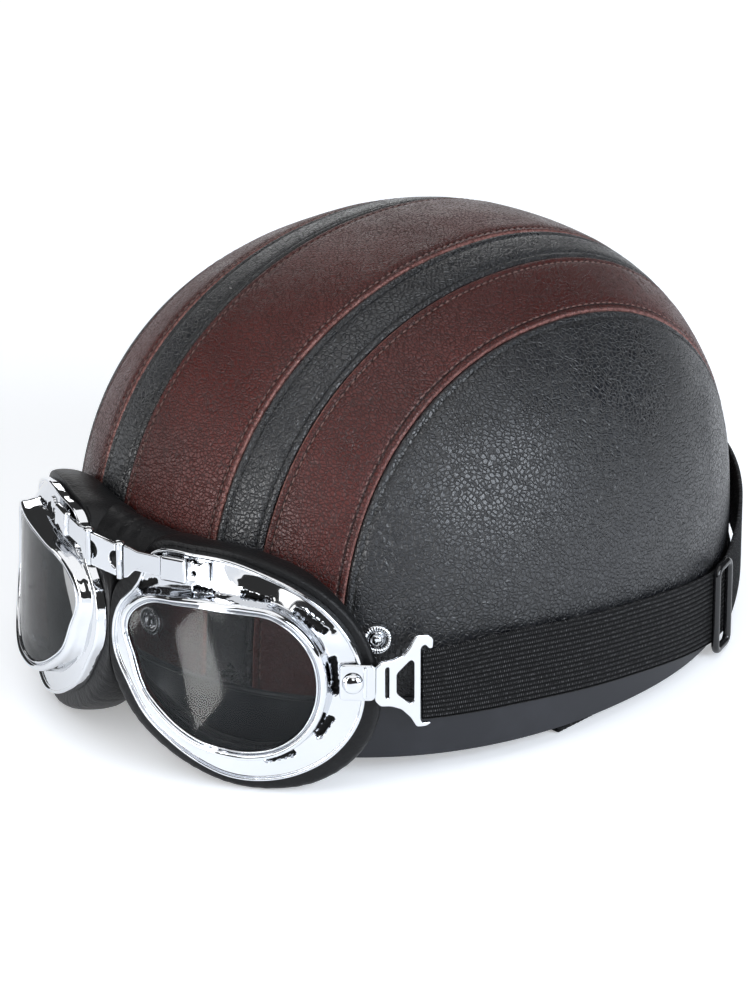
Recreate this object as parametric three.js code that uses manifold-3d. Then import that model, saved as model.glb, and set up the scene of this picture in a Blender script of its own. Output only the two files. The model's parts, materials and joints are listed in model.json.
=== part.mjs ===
// A leather-covered motorcycle half helmet with its strapped-on chrome goggles.
// Helmet frame: +X wearer's left, +Y back, +Z up, rim bottom at z = 0, all in millimetres.
import * as THREE from 'three';
import Module from 'manifold-3d';
import { mergeVertices } from 'three/addons/utils/BufferGeometryUtils.js';

const wasm = await Module();
wasm.setup();

// Clearances between touching pieces
const seatGap = 0.4;
const seamGap = 0.5;
const noseOverlap = 0.05;

// Crown: the outer leather surface
const crown = {
  halfWidth: 118.35,
  halfLength: 135,
  height: 165.5,
  planPower: 2.169,
  risePower: 2.841,
  narrowPower: 1.977,
  centreY: 1.8,
  topLean: 4.4,
};
const leather = 1.5;
const panelBacking = 0.9;
const shellWall = 22;
const shellRings = 7;
const aroundSteps = 36;
const alongSteps = 22;
const panelSteps = { centre: 4, narrow: 2, outer: 2, side: 7 };

// Seams that run from the front rim over the top to the back rim
const seams = {
  centre: { x: 25.35, flare: 0.024 },
  narrow: { x: 44.76, flare: 0.025 },
  side: { x: 71.7, flare: 0.076 },
};

// Rubber rim band with a bead along its top and a lip under the shell
const band = { height: 25.2, wall: 1.8, bead: 0.9, beadHeight: 2.2, lip: 12, lipHeight: 2, chamfer: 1.2 };

// Press studs for a visor
const snap = {
  radius: 5.8,
  flange: 0.9,
  ringHeight: 2.6,
  slope: 0.9,
  well: 3.4,
  wellSlope: 0.7,
  studRadius: 2.1,
  studHeight: 3.3,
  studChamfer: 0.6,
  sides: 12,
};
const frontSnapHeight = 41;
const sideSnap = { height: 50, planAngle: -45.5 };

// Goggles: one eye frame in its own axes, u to the temple, v up, w forward
const eye = {
  x: 54.6,
  y: -138.7,
  z: 42.8,
  yaw: 29.83,
  pitch: 3.12,
  flangeCurve: 0.0059,
  lensCurve: 0.0097,
  crownU: 2.2,
  centreU: -4,
  centreV: -2,
};
const frameSize = {
  flange: 50,
  lens: 36,
  lensRise: 9,
  lip: 0.8,
  lipWidth: 1.4,
  lipSlope: 0.5,
  skirt: 2.6,
  skirtWall: 1,
  plate: 1.2,
};
const bezel = {
  width: 4.6,
  crown: 1.2,
  depth: 2.6,
  wall: 3.1,
  foot: 0.6,
  drop: 1.2,
  outerShare: 0.6,
  innerShare: 0.2,
};
const lensThickness = 1.6;
const pad = { proud: 8, frontGap: 0.4, inset: 4.6, backInset: 8, farthest: 45 };

// Eye outline every 18 degrees from the temple upward: flange and lens radii and pad overhang as
// shares of flange, lens and proud, and pad depth as a share of the way back to the helmet
const eyeRows = [
  { flange: 1.02, lens: 0.98, proud: 0.45, depth: 0.42 },
  { flange: 0.97, lens: 0.96, proud: 0.4, depth: 0.42 },
  { flange: 0.91, lens: 0.92, proud: 0.4, depth: 0.62 },
  { flange: 0.86, lens: 0.86, proud: 0.4, depth: 0.9 },
  { flange: 0.84, lens: 0.76, proud: 0.4, depth: 1 },
  { flange: 0.87, lens: 0.72, proud: 0.4, depth: 1 },
  { flange: 0.93, lens: 0.76, proud: 0.4, depth: 1 },
  { flange: 1.05, lens: 0.87, proud: 0.35, depth: 0.9 },
  { flange: 0.95, lens: 1.09, proud: 0.7, depth: 0.55 },
  { flange: 1.0, lens: 1.18, proud: 0.85, depth: 0.32 },
  { flange: 0.98, lens: 1.03, proud: 0.95, depth: 0.28 },
  { flange: 0.9, lens: 0.96, proud: 1, depth: 0.4 },
  { flange: 0.87, lens: 0.87, proud: 1, depth: 0.75 },
  { flange: 0.84, lens: 0.82, proud: 0.95, depth: 1 },
  { flange: 0.85, lens: 0.8, proud: 0.8, depth: 1 },
  { flange: 0.89, lens: 0.8, proud: 0.7, depth: 1 },
  { flange: 0.93, lens: 0.85, proud: 0.75, depth: 1 },
  { flange: 0.98, lens: 0.92, proud: 0.9, depth: 1 },
  { flange: 1.03, lens: 0.975, proud: 0.85, depth: 0.8 },
  { flange: 1.05, lens: 0.99, proud: 0.65, depth: 0.52 },
];
const frameSteps = 34;
const lensSteps = frameSteps;
const padSteps = 36;

// Vent slots through the flange: angle, distance out from the lens and length
const slotWidth = 2.5;
const slotDepth = 6;
const slotRows = [
  { angle: 154, out: 6.1, length: 8 },
  { angle: 139, out: 6.4, length: 9.5 },
  { angle: 107, out: 6.3, length: 9.5 },
  { angle: 71, out: 6.4, length: 12 },
  { angle: 36, out: 6.6, length: 14 },
  { angle: 2, out: 6.5, length: 15 },
  { angle: 331, out: 7.6, length: 11 },
  { angle: 301, out: 8, length: 12.5 },
];

// Bridge between the eye frames
const bridge = {
  pinU: -48.9,
  pinV: 34,
  lift: 2.6,
  pinRadius: 1.3,
  pinHead: 2.1,
  pinLength: 14,
  headHeight: 1.2,
  pinSides: 8,
  linkHeight: 13.2,
  linkThickness: 1.5,
  notchRadius: 3.6,
  armLow: 1.3,
  armHigh: 2.9,
  rootHalf: 6.5,
  armHalf: 3.9,
  armTop: 39.4,
  flareLength: 5,
};
const sleeve = { from: -31, to: -20.6, bottom: 30.6, top: 40.4, low: 1.3, high: 4.2, corner: 0.6 };
const endTab = { from: -20.2, to: -11.4, bottom: 32, top: 39.6, low: 1.2, high: 2.8, corner: 1.2 };

// Strap clips on the temple side of each eye frame
const clip = { from: 38.4, to: 51.4, bottom: -10.2, top: 4.2, low: 1.2, high: 2.5, corner: 1.6 };
const rivet = { u: 43.4, v: -3.1, radius: 4, height: 2.6, sides: 14 };

// Strap hooks stand in a plane that leaves the clip and meets the helmet tangentially
const hook = { x: 94, y: -110, heading: 72.2, thickness: 1.6 };
const hookOutline = [
  [2.7, 31], [2.9, 45], [5.3, 46.6], [10.3, 46.4], [14.7, 47.6], [17.4, 50.4], [19.8, 54.6],
  [25.4, 53.9], [27.1, 51.6], [26.9, 47.9], [25.3, 47.9], [23.6, 50.2], [21.8, 49.2], [21.8, 18.9],
  [22.6, 17.9], [26.6, 17.2], [24.4, 15.9], [20.2, 16.4], [17.7, 20.9], [13.8, 25.2], [9.4, 27.4],
  [4.8, 28.4],
];
const hookWindow = [[6.9, 31.2], [8.6, 31.2], [8.6, 44], [6.9, 44]];
const hookEye = [[11.7, 32.3], [17.6, 26.8], [19.1, 27.8], [19.1, 43.8], [17.6, 45.1], [11.7, 40.5]];

// Elastic strap round the back: share of the way from left hook to right hook, distance of its
// middle off the helmet wall and height of its middle
const strap = { width: 31, thickness: 1.8, startAngle: -37.7, steps: 48, endWidth: 28.4, endShare: 0.05 };
const strapRows = [
  { share: 0, off: 7, height: 33 },
  { share: 0.065, off: 3, height: 32.4 },
  { share: 0.136, off: 2.6, height: 28.6 },
  { share: 0.225, off: 2.6, height: 20.4 },
  { share: 0.25, off: 2.6, height: 18.2 },
  { share: 0.275, off: 3.2, height: 19.2 },
  { share: 0.345, off: 6, height: 34 },
  { share: 0.42, off: 5, height: 39.5 },
  { share: 0.5, off: 3, height: 41.5 },
  { share: 0.65, off: 2.6, height: 41 },
  { share: 0.8, off: 2.6, height: 38.6 },
  { share: 0.935, off: 3, height: 34.6 },
  { share: 1, off: 7, height: 33 },
];
const slider = { share: 0.25, width: 16, bar: 3.2, edgeGap: 0.5, thickness: 3.2, corner: 2.4 };

// Chin strap: a whole loop from one inner wall, out under the rim, across the floor and back up
const chin = {
  width: 25,
  thickness: 1.5,
  centreY: -13,
  lift: 0.4,
  foldReach: 112.7,
  layerRise: 1.95,
  turnRadius: 4,
  anchorHeight: 46,
  wallGap: 3.4,
};
const buckle = { length: 50, width: 30, height: 8.6, corner: 5, topShare: 0.88 };
const chinRivet = { radius: 6, height: 1.8, drop: 8, sides: 16 };

// Finishes
const finish = (name, color, roughness, metalness = 0) =>
  new THREE.MeshStandardMaterial({ name, color, roughness, metalness });
const brownLeather = finish('brown leather', 0x4a2624, 0.45);
const blackLeather = finish('black leather', 0x1d1f23, 0.45);
const rubber = finish('rim rubber', 0x191a1d, 0.6);
const chrome = finish('chrome', 0xe4e6ea, 0.08, 1);
const clearLens = finish('clear lens', 0xa9adb2, 0.05);
const padding = finish('soft black leather', 0x17181a, 0.6);
const webbing = finish('black webbing', 0x161617, 0.85);
const blackPlastic = finish('black plastic', 0x141416, 0.35);
const foam = finish('shell and foam', 0x1b1b1d, 0.8);

const radians = THREE.MathUtils.degToRad;
const vec = (x, y, z) => new THREE.Vector3(x, y, z);
const range = (count) => Array.from({ length: count }, (_, i) => i);
const signedPower = (value, power) => Math.sign(value) * Math.abs(value) ** power;

// A smooth value between table rows, through each row, by a cubic with averaged slopes
function readTable(rows, key, column, at) {
  const last = rows.length - 1;
  let i = 0;
  while (i < last - 1 && at > rows[i + 1][key]) i += 1;
  const slope = (k) => {
    const before = rows[Math.max(k - 1, 0)];
    const after = rows[Math.min(k + 1, last)];
    return (after[column] - before[column]) / (after[key] - before[key]);
  };
  const [a, b] = [rows[i], rows[i + 1]];
  const step = b[key] - a[key];
  const t = (at - a[key]) / step;
  const ends = a[column] * (1 + 2 * t) * (1 - t) ** 2 + b[column] * t * t * (3 - 2 * t);
  return ends + step * t * (1 - t) * (slope(i) * (1 - t) - slope(i + 1) * t);
}

// Collects triangles, skips empty ones and turns the finished body so that its faces point out
class Body {
  constructor() {
    this.positions = [];
  }

  triangle(a, b, c) {
    const flat = a.distanceTo(b) < 1e-4 || b.distanceTo(c) < 1e-4 || c.distanceTo(a) < 1e-4;
    if (!flat) this.positions.push(a, b, c);
  }

  quad(a, b, c, d) {
    this.triangle(a, b, c);
    this.triangle(a, c, d);
  }

  geometry(mirrored = false) {
    const points = this.positions.map((p) => (mirrored ? vec(-p.x, p.y, p.z) : p));
    let volume = 0;
    for (let i = 0; i < points.length; i += 3) {
      volume += points[i].dot(points[i + 1].clone().cross(points[i + 2]));
    }
    if (volume < 0) points.reverse();
    const geometry = new THREE.BufferGeometry().setFromPoints(points);
    return geometry;
  }
}

// A body between closed profiles that stand at stations round a ring or along an open path
function sweep(stations, closed) {
  const body = new Body();
  const count = stations.length;
  const size = stations[0].length;
  for (const i of range(closed ? count : count - 1)) {
    const [a, b] = [stations[i], stations[(i + 1) % count]];
    for (const j of range(size)) {
      const k = (j + 1) % size;
      body.quad(a[j], b[j], b[k], a[k]);
    }
  }
  if (!closed) {
    const [first, end] = [stations[0], stations[count - 1]];
    for (const j of range(size - 2)) {
      body.triangle(first[0], first[j + 1], first[j + 2]);
      body.triangle(end[0], end[j + 2], end[j + 1]);
    }
  }
  return body;
}

// A sheet with thickness: two grids of points of the same size, joined along their four edges
function sheet(top, bottom) {
  const body = new Body();
  const rows = top.length;
  const columns = top[0].length;
  for (const i of range(rows - 1)) {
    for (const j of range(columns - 1)) {
      body.quad(top[i][j], top[i + 1][j], top[i + 1][j + 1], top[i][j + 1]);
      body.quad(bottom[i][j], bottom[i][j + 1], bottom[i + 1][j + 1], bottom[i + 1][j]);
    }
  }
  for (const i of range(rows - 1)) {
    const end = columns - 1;
    body.quad(top[i][0], bottom[i][0], bottom[i + 1][0], top[i + 1][0]);
    body.quad(top[i + 1][end], bottom[i + 1][end], bottom[i][end], top[i][end]);
  }
  for (const j of range(columns - 1)) {
    const end = rows - 1;
    body.quad(top[0][j + 1], bottom[0][j + 1], bottom[0][j], top[0][j]);
    body.quad(top[end][j], bottom[end][j], bottom[end][j + 1], top[end][j + 1]);
  }
  return body;
}

// A prism between two copies of an outline with holes, each corner placed by the function at(x, y, level)
function prism(outline, holes, at) {
  const body = new Body();
  const rings = [outline, ...holes].map((ring) => ring.map(([x, y]) => new THREE.Vector2(x, y)));
  if (THREE.ShapeUtils.isClockWise(rings[0])) rings[0].reverse();
  for (const ring of rings.slice(1)) if (!THREE.ShapeUtils.isClockWise(ring)) ring.reverse();
  const flat = rings.flat();
  const low = flat.map((p) => at(p.x, p.y, 0));
  const high = flat.map((p) => at(p.x, p.y, 1));
  for (const [a, b, c] of THREE.ShapeUtils.triangulateShape(rings[0], rings.slice(1))) {
    body.triangle(high[a], high[b], high[c]);
    body.triangle(low[a], low[c], low[b]);
  }
  let start = 0;
  for (const ring of rings) {
    for (const i of range(ring.length)) {
      const [a, b] = [start + i, start + ((i + 1) % ring.length)];
      body.quad(low[a], low[b], high[b], high[a]);
    }
    start += ring.length;
  }
  return body;
}

// Boolean work on closed bodies
function solid(geometry) {
  const bare = geometry.clone();
  bare.deleteAttribute('normal');
  bare.deleteAttribute('uv');
  const merged = mergeVertices(bare, 1e-4);
  const mesh = new wasm.Mesh({
    numProp: 3,
    vertProperties: new Float32Array(merged.attributes.position.array),
    triVerts: new Uint32Array(merged.index.array),
  });
  return new wasm.Manifold(mesh);
}

function geometryOf(manifold) {
  const mesh = manifold.getMesh();
  const geometry = new THREE.BufferGeometry();
  geometry.setAttribute('position', new THREE.BufferAttribute(mesh.vertProperties, 3));
  geometry.setIndex(new THREE.BufferAttribute(mesh.triVerts, 1));
  return geometry;
}

// Crown surface: below zero inside, above zero outside, with the whole surface grown by an offset
function crownLevel(x, y, z, grow = 0) {
  const rise = Math.max(0, (z - band.height) / (crown.height + grow - band.height));
  const lean = crown.centreY + crown.topLean * rise;
  const across = Math.abs(x / (crown.halfWidth + grow)) ** crown.planPower;
  const along = Math.abs((y - lean) / (crown.halfLength + grow)) ** crown.planPower;
  return (across + along) ** (crown.narrowPower / crown.planPower) + rise ** crown.risePower - 1;
}

// The first place along a ray where the crown surface is crossed
function crossing(pointAt, near, far, grow = 0) {
  let [inside, outside] = [near, far];
  for (let i = 0; i < 50; i += 1) {
    const middle = (inside + outside) / 2;
    const p = pointAt(middle);
    if (crownLevel(p.x, p.y, p.z, grow) < 0) inside = middle;
    else outside = middle;
  }
  return pointAt((inside + outside) / 2);
}

function crownNormal(p) {
  const h = 0.01;
  const slope = (dx, dy, dz) =>
    crownLevel(p.x + dx, p.y + dy, p.z + dz) - crownLevel(p.x - dx, p.y - dy, p.z - dz);
  return vec(slope(h, 0, 0), slope(0, h, 0), slope(0, 0, h)).normalize();
}

const sunk = (p, depth) => p.clone().addScaledVector(crownNormal(p), -depth);

// Point on the crown over a seam line: angle 0 is the front rim, 180 degrees the back rim
function seamPoint(x, flare, angle, foot) {
  const pointAt = (reach) => {
    const y = -Math.cos(angle) * reach;
    const share = y / crown.halfLength;
    return vec(x * (1 + flare * share * share), y + crown.centreY, foot + Math.sin(angle) * reach);
  };
  return crossing(pointAt, 0, crown.halfLength + crown.height);
}

// Wall of the helmet seen from above, as a superellipse grown outward by an offset
function wallPoint(angle, grow, z) {
  const [c, s] = [Math.cos(angle), Math.sin(angle)];
  const power = 2 / crown.planPower;
  const x = (crown.halfWidth + grow) * signedPower(c, power);
  const y = (crown.halfLength + grow) * signedPower(s, power) + crown.centreY;
  return vec(x, y, z);
}

// Foam and shell: one hollow bowl, closed at its rim
function shellBody() {
  const bottom = band.lipHeight + seatGap;
  const angles = range(aroundSteps).map((i) => ((i + 0.5) / aroundSteps) * 2 * Math.PI);
  const bowl = (offset, height) => {
    const rings = [angles.map((angle) => wallPoint(angle, offset, bottom))];
    const base = band.height;
    for (const i of range(shellRings)) {
      const rise = Math.sin((i / shellRings) * (Math.PI / 2));
      const narrow = (1 - rise ** crown.risePower) ** (1 / crown.narrowPower);
      const z = base + (height - base) * rise;
      rings.push(angles.map((angle) => {
        const p = wallPoint(angle, offset, z);
        const lean = crown.centreY + crown.topLean * rise;
        return vec(p.x * narrow, (p.y - crown.centreY) * narrow + lean, z);
      }));
    }
    const top = vec(0, crown.centreY + crown.topLean, height);
    rings.push(angles.map(() => top));
    return rings;
  };
  const sink = leather + panelBacking;
  const outer = bowl(-sink, crown.height - sink);
  const inner = bowl(-sink - shellWall, crown.height - sink - shellWall);
  const body = new Body();
  for (const rings of [outer, inner]) {
    for (const i of range(rings.length - 1)) {
      for (const j of range(aroundSteps)) {
        const k = (j + 1) % aroundSteps;
        const corners = [rings[i][j], rings[i][k], rings[i + 1][k], rings[i + 1][j]];
        body.quad(...(rings === outer ? corners : corners.reverse()));
      }
    }
  }
  for (const j of range(aroundSteps)) {
    const k = (j + 1) % aroundSteps;
    body.quad(outer[0][k], outer[0][j], inner[0][j], inner[0][k]);
  }
  return body;
}

function bandBody() {
  const { height, wall, bead, beadHeight, lip, lipHeight, chamfer } = band;
  const inner = leather + panelBacking - seatGap;
  const profile = [
    [-chamfer, 0], [0, chamfer], [0, height - beadHeight], [bead, height - beadHeight * 0.7],
    [bead, height - beadHeight * 0.25], [0, height], [-Math.min(wall, inner), height],
    [-Math.min(wall, inner), lipHeight], [-lip, lipHeight], [-lip, 0],
  ];
  const stations = range(aroundSteps).map((i) => {
    const angle = ((i + 0.5) / aroundSteps) * 2 * Math.PI;
    return profile.map(([off, z]) => wallPoint(angle, off, z));
  });
  return sweep(stations, true);
}

// A leather panel between two lines that run over the crown
function panelBody(from, to, across) {
  const foot = band.height + seatGap;
  const rows = range(across + 1).map((i) => {
    const share = i / across;
    const x = THREE.MathUtils.lerp(from.x, to.x, share);
    const flare = THREE.MathUtils.lerp(from.flare, to.flare, share);
    return range(alongSteps + 1).map((j) => seamPoint(x, flare, (j / alongSteps) * Math.PI, foot));
  });
  return sheet(rows, rows.map((row) => row.map((p) => sunk(p, leather))));
}

// A side panel from its seam down to the rim, with its lines closing up on the widest point
function sidePanelBody() {
  const across = panelSteps.side;
  const foot = band.height + seatGap;
  const start = Math.asin((seams.side.x + seamGap / 2) / crown.halfWidth);
  const rows = range(across + 1).map((i) => {
    const share = i / across;
    const x = crown.halfWidth * Math.sin(THREE.MathUtils.lerp(start, Math.PI / 2, share));
    const flare = seams.side.flare * (1 - share);
    return range(alongSteps + 1).map((j) => seamPoint(x, flare, (j / alongSteps) * Math.PI, foot));
  });
  return sheet(rows, rows.map((row) => row.map((p) => sunk(p, leather))));
}

const shifted = (seam, by) => ({ x: seam.x + by, flare: seam.flare });

// A round piece turned from half a section, its axis along +Z
function turned(profile, sides) {
  const points = profile.map(([radius, z]) => new THREE.Vector2(radius, z));
  const geometry = new THREE.LatheGeometry(points, sides);
  return geometry.rotateX(Math.PI / 2);
}

function snapGeometry() {
  const { radius, flange, ringHeight, slope, well, wellSlope } = snap;
  const { studRadius, studHeight, studChamfer, sides } = snap;
  return turned([
    [0, 0], [radius, 0], [radius, flange], [radius - slope, ringHeight], [well, ringHeight],
    [well - wellSlope, flange], [studRadius, flange], [studRadius, studHeight - studChamfer],
    [studRadius - studChamfer, studHeight], [0, studHeight],
  ], sides);
}

// Eye frame axes in the helmet frame
const yaw = radians(eye.yaw);
const pitch = radians(eye.pitch);
const axisU = vec(Math.cos(yaw), Math.sin(yaw), 0);
const axisW = vec(Math.sin(yaw) * Math.cos(pitch), -Math.cos(yaw) * Math.cos(pitch), Math.sin(pitch));
const axisV = axisW.clone().cross(axisU);
const flangeAt = (u) => (-eye.flangeCurve * (u - eye.crownU) ** 2) / 2;
const lensAt = (u) => frameSize.lensRise - (eye.lensCurve * (u - eye.crownU) ** 2) / 2;

function fromEye(u, v, w) {
  const origin = vec(eye.x, eye.y, eye.z);
  return origin.addScaledVector(axisU, u).addScaledVector(axisV, v).addScaledVector(axisW, w);
}

// Radii of the eye outline at an angle, smooth between the rows of its table
function eyeRadius(column, angle) {
  const step = (2 * Math.PI) / eyeRows.length;
  const count = eyeRows.length;
  const turn = ((angle / step) % count + count) % count;
  const i = Math.floor(turn);
  const t = turn - i;
  const [a, b, c, d] = [-1, 0, 1, 2].map((k) => eyeRows[(i + k + count) % count][column]);
  const bend = a * (-t + 2 * t * t - t ** 3) + b * (2 - 5 * t * t + 3 * t ** 3);
  return (bend + c * (t + 4 * t * t - 3 * t ** 3) + d * (t ** 3 - t * t)) / 2;
}

const flangeRadius = (angle) => frameSize.flange * eyeRadius('flange', angle);
const lensRadius = (angle) => frameSize.lens * eyeRadius('lens', angle);
const polarU = (angle, radius) => eye.centreU + Math.cos(angle) * radius;
const polarV = (angle, radius) => eye.centreV + Math.sin(angle) * radius;

function eyePoint(angle, radius, height) {
  const u = polarU(angle, radius);
  return fromEye(u, polarV(angle, radius), height(u));
}

// Chrome frame: flange with a raised outer lip, and a bezel that rises round the lens
function frameGeometry(mirrored) {
  const { lip, lipWidth, lipSlope, skirt, skirtWall, plate } = frameSize;
  const stations = range(frameSteps).map((i) => {
    const angle = (i / frameSteps) * 2 * Math.PI;
    const rf = flangeRadius(angle);
    const rl = lensRadius(angle);
    const onFlange = (radius, up) => eyePoint(angle, radius, (u) => flangeAt(u) + up);
    const onLens = (radius, up) => eyePoint(angle, radius, (u) => lensAt(u) + up);
    return [
      onFlange(rf, -skirt), onFlange(rf, lip), onFlange(rf - lipWidth, lip),
      onFlange(rf - lipWidth - lipSlope, 0), onFlange(rl + bezel.width, bezel.foot),
      onLens(rl + bezel.width - bezel.foot, -bezel.drop),
      onLens(rl + bezel.width * bezel.outerShare, bezel.crown),
      onLens(rl + bezel.width * bezel.innerShare, bezel.crown), onLens(rl, 0), onLens(rl, -bezel.depth),
      onFlange(rl + bezel.wall, -plate), onFlange(rf - skirtWall, -plate), onFlange(rf - skirtWall, -skirt),
    ];
  });
  let manifold = solid(sweep(stations, true).geometry());
  for (const row of slotRows) manifold = manifold.subtract(solid(slotCutter(row)));
  const cut = geometryOf(manifold).toNonIndexed();
  return mirrored ? mirrorX(cut) : cut;
}

function slotCutter({ angle, out, length }) {
  const a = radians(angle);
  const radius = lensRadius(a) + out;
  const h = 0.02;
  const ahead = vec(polarU(a + h, lensRadius(a + h) + out), polarV(a + h, lensRadius(a + h) + out), 0);
  const centre = vec(polarU(a, radius), polarV(a, radius), 0);
  const along = ahead.sub(centre).normalize();
  const side = vec(-along.y, along.x, 0);
  const half = [length / 2, slotWidth / 2];
  const corners = [[-1, -1], [1, -1], [1, 1], [-1, 1]].map(([i, j]) => {
    const p = centre.clone().addScaledVector(along, i * half[0]).addScaledVector(side, j * half[1]);
    return [p.x, p.y];
  });
  const at = (u, v, level) => fromEye(u, v, flangeAt(u) + (level - 0.5) * slotDepth);
  return prism(corners, [], at).geometry();
}

function mirrorX(geometry) {
  const body = new Body();
  const position = geometry.attributes.position;
  for (let i = 0; i < position.count; i += 3) {
    const [a, b, c] = [0, 1, 2].map((k) => new THREE.Vector3().fromBufferAttribute(position, i + k));
    body.triangle(a, b, c);
  }
  return body.geometry(true);
}

// A clear curved lens that fills the bezel
function lensGeometry(mirrored) {
  const shares = [1, 0.5];
  const at = (angle, share, low) => {
    const radius = (lensRadius(angle) - seatGap) * share;
    return eyePoint(angle, radius, (u) => lensAt(u) - low - 0.2);
  };
  const layer = (low) => {
    const rings = shares.map((share) =>
      range(lensSteps).map((i) => at((i / lensSteps) * 2 * Math.PI, share, low)));
    return [...rings, range(lensSteps).map(() => at(0, 0, low))];
  };
  const [front, back] = [layer(0), layer(lensThickness)];
  const body = new Body();
  for (const i of range(lensSteps)) {
    const k = (i + 1) % lensSteps;
    for (const r of range(shares.length)) {
      body.quad(front[r][i], front[r][k], front[r + 1][k], front[r + 1][i]);
      body.quad(back[r][k], back[r][i], back[r + 1][i], back[r + 1][k]);
    }
    body.quad(front[0][k], front[0][i], back[0][i], back[0][k]);
  }
  return body.geometry(mirrored);
}

// Padded face mask: a soft ring behind each eye frame that leans on the helmet, joined at the nose
function padRing(mirrored) {
  const front = (u) => flangeAt(u) - frameSize.skirt - pad.frontGap;
  const stations = range(padSteps).map((i) => {
    const angle = (i / padSteps) * 2 * Math.PI;
    const rf = flangeRadius(angle);
    const rl = lensRadius(angle) + pad.inset;
    const proud = pad.proud * eyeRadius('proud', angle);
    const share = eyeRadius('depth', angle);
    const at = (radius, back) => {
      const u = polarU(angle, radius);
      const v = polarV(angle, radius);
      const top = front(u);
      const wall = crossing((t) => fromEye(u, v, top - pad.farthest + t), 0, pad.farthest, seatGap);
      const reach = wall.distanceTo(fromEye(u, v, top)) * share;
      return fromEye(u, v, top - reach * back);
    };
    return [
      at(rl, 0), at(rf + 0.4, 0), at(rf + proud * 0.75, 0.03), at(rf + proud, 0.32),
      at(rf + proud * 0.9, 0.7), at(rf + proud * 0.4, 1), at(Math.min(rl + pad.backInset, rf - 1), 1),
      at(rl, 0.55),
    ];
  });
  return sweep(stations, true).geometry(mirrored);
}

// Each ring stops at the middle of the nose, where the two meet in a crease
function maskGeometry() {
  const reach = 2 * crown.halfLength;
  const half = new THREE.BoxGeometry(reach, 2 * reach, 2 * reach).translate(reach / 2 - noseOverlap, 0, 0);
  const left = solid(padRing(false)).intersect(solid(half));
  const right = solid(mirrorX(geometryOf(left).toNonIndexed()));
  return geometryOf(left.add(right)).toNonIndexed();
}

// A plate that lies over the flange: an outline in u and v between two heights above the flange
function flangePlate(outline, low, high, mirrored) {
  const at = (u, v, level) => fromEye(u, v, flangeAt(u) + (level ? high : low));
  return prism(outline, [], at).geometry(mirrored);
}

const rectangle = (x0, y0, x1, y1) => [[x0, y0], [x1, y0], [x1, y1], [x0, y1]];
const cutRectangle = (x0, y0, x1, y1, c) => [
  [x0 + c, y0], [x1 - c, y0], [x1, y0 + c], [x1, y1 - c],
  [x1 - c, y1], [x0 + c, y1], [x0, y1 - c], [x0, y0 + c],
];

// Bridge arm: a flared root beside the hinge pin that narrows to a bar
function armOutline() {
  const root = bridge.pinU + bridge.pinRadius + seatGap;
  const neck = root + bridge.flareLength;
  const end = sleeve.from - seatGap;
  const [low, high] = [bridge.pinV - bridge.rootHalf, bridge.pinV + bridge.rootHalf];
  const barLow = bridge.armTop - 2 * bridge.armHalf;
  return [
    [root, low], [root + 1.8, low + 0.6], [neck, barLow], [end, barLow], [end, bridge.armTop],
    [neck + 1, bridge.armTop], [root + 2, high], [root, high],
  ];
}

const pinPoint = fromEye(bridge.pinU, bridge.pinV, flangeAt(bridge.pinU) + bridge.lift);

// Centre link: a plate with a round notch beside each hinge pin
function linkGeometry() {
  const half = pinPoint.x - bridge.pinRadius - seatGap;
  const tall = bridge.linkHeight / 2;
  const notch = (side) => range(7).map((i) => {
    const angle = (i / 6) * Math.PI - Math.PI / 2;
    const [inward, rise] = [Math.cos(angle), Math.sin(angle)].map((part) => part * bridge.notchRadius);
    return [side * (half - inward), side * rise];
  });
  const outline = [[-half, -tall], [half, -tall], ...notch(1), [half, tall], [-half, tall], ...notch(-1)];
  const at = (x, y, level) => vec(x, pinPoint.y + (level - 0.5) * bridge.linkThickness, pinPoint.z + y);
  return prism(outline, [], at).geometry();
}

function pinGeometry() {
  const { pinRadius, pinHead, pinLength, headHeight } = bridge;
  const half = pinLength / 2;
  return turned([
    [0, -half], [pinRadius, -half], [pinRadius, half], [pinHead, half], [pinHead, half + headHeight * 0.5],
    [pinHead * 0.6, half + headHeight], [0, half + headHeight],
  ], bridge.pinSides);
}

function rivetGeometry() {
  const steps = 4;
  const dome = range(steps + 1).map((i) => {
    const angle = (i / steps) * (Math.PI / 2);
    return [rivet.radius * Math.cos(angle), rivet.height * Math.sin(angle)];
  });
  dome[steps][0] = 0;
  return turned([[0, 0], ...dome], rivet.sides);
}

// Strap hook: a flat plate with a slot, an eye and two prongs that hold the strap's edges
const heading = radians(hook.heading);
const hookAlong = vec(Math.cos(heading), Math.sin(heading), 0);
const hookOut = vec(Math.sin(heading), -Math.cos(heading), 0);

function hookGeometry(mirrored) {
  const at = (s, z, level) => {
    const p = vec(hook.x, hook.y, z).addScaledVector(hookAlong, s);
    return p.addScaledVector(hookOut, (level - 0.5) * hook.thickness);
  };
  return prism(hookOutline, [hookWindow, hookEye], at).geometry(mirrored);
}

// Middle line of the goggle strap at a share of its way round the helmet
function strapPoint(share) {
  const angle = THREE.MathUtils.lerp(radians(strap.startAngle), Math.PI - radians(strap.startAngle), share);
  const off = readTable(strapRows, 'share', 'off', share);
  return wallPoint(angle, off, readTable(strapRows, 'share', 'height', share));
}

function strapSide(share) {
  const h = 0.002;
  const [before, after] = [Math.max(share - h, 0), Math.min(share + h, 1)];
  const along = strapPoint(after).sub(strapPoint(before)).setZ(0).normalize();
  return { along, out: vec(along.y, -along.x, 0) };
}

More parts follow.
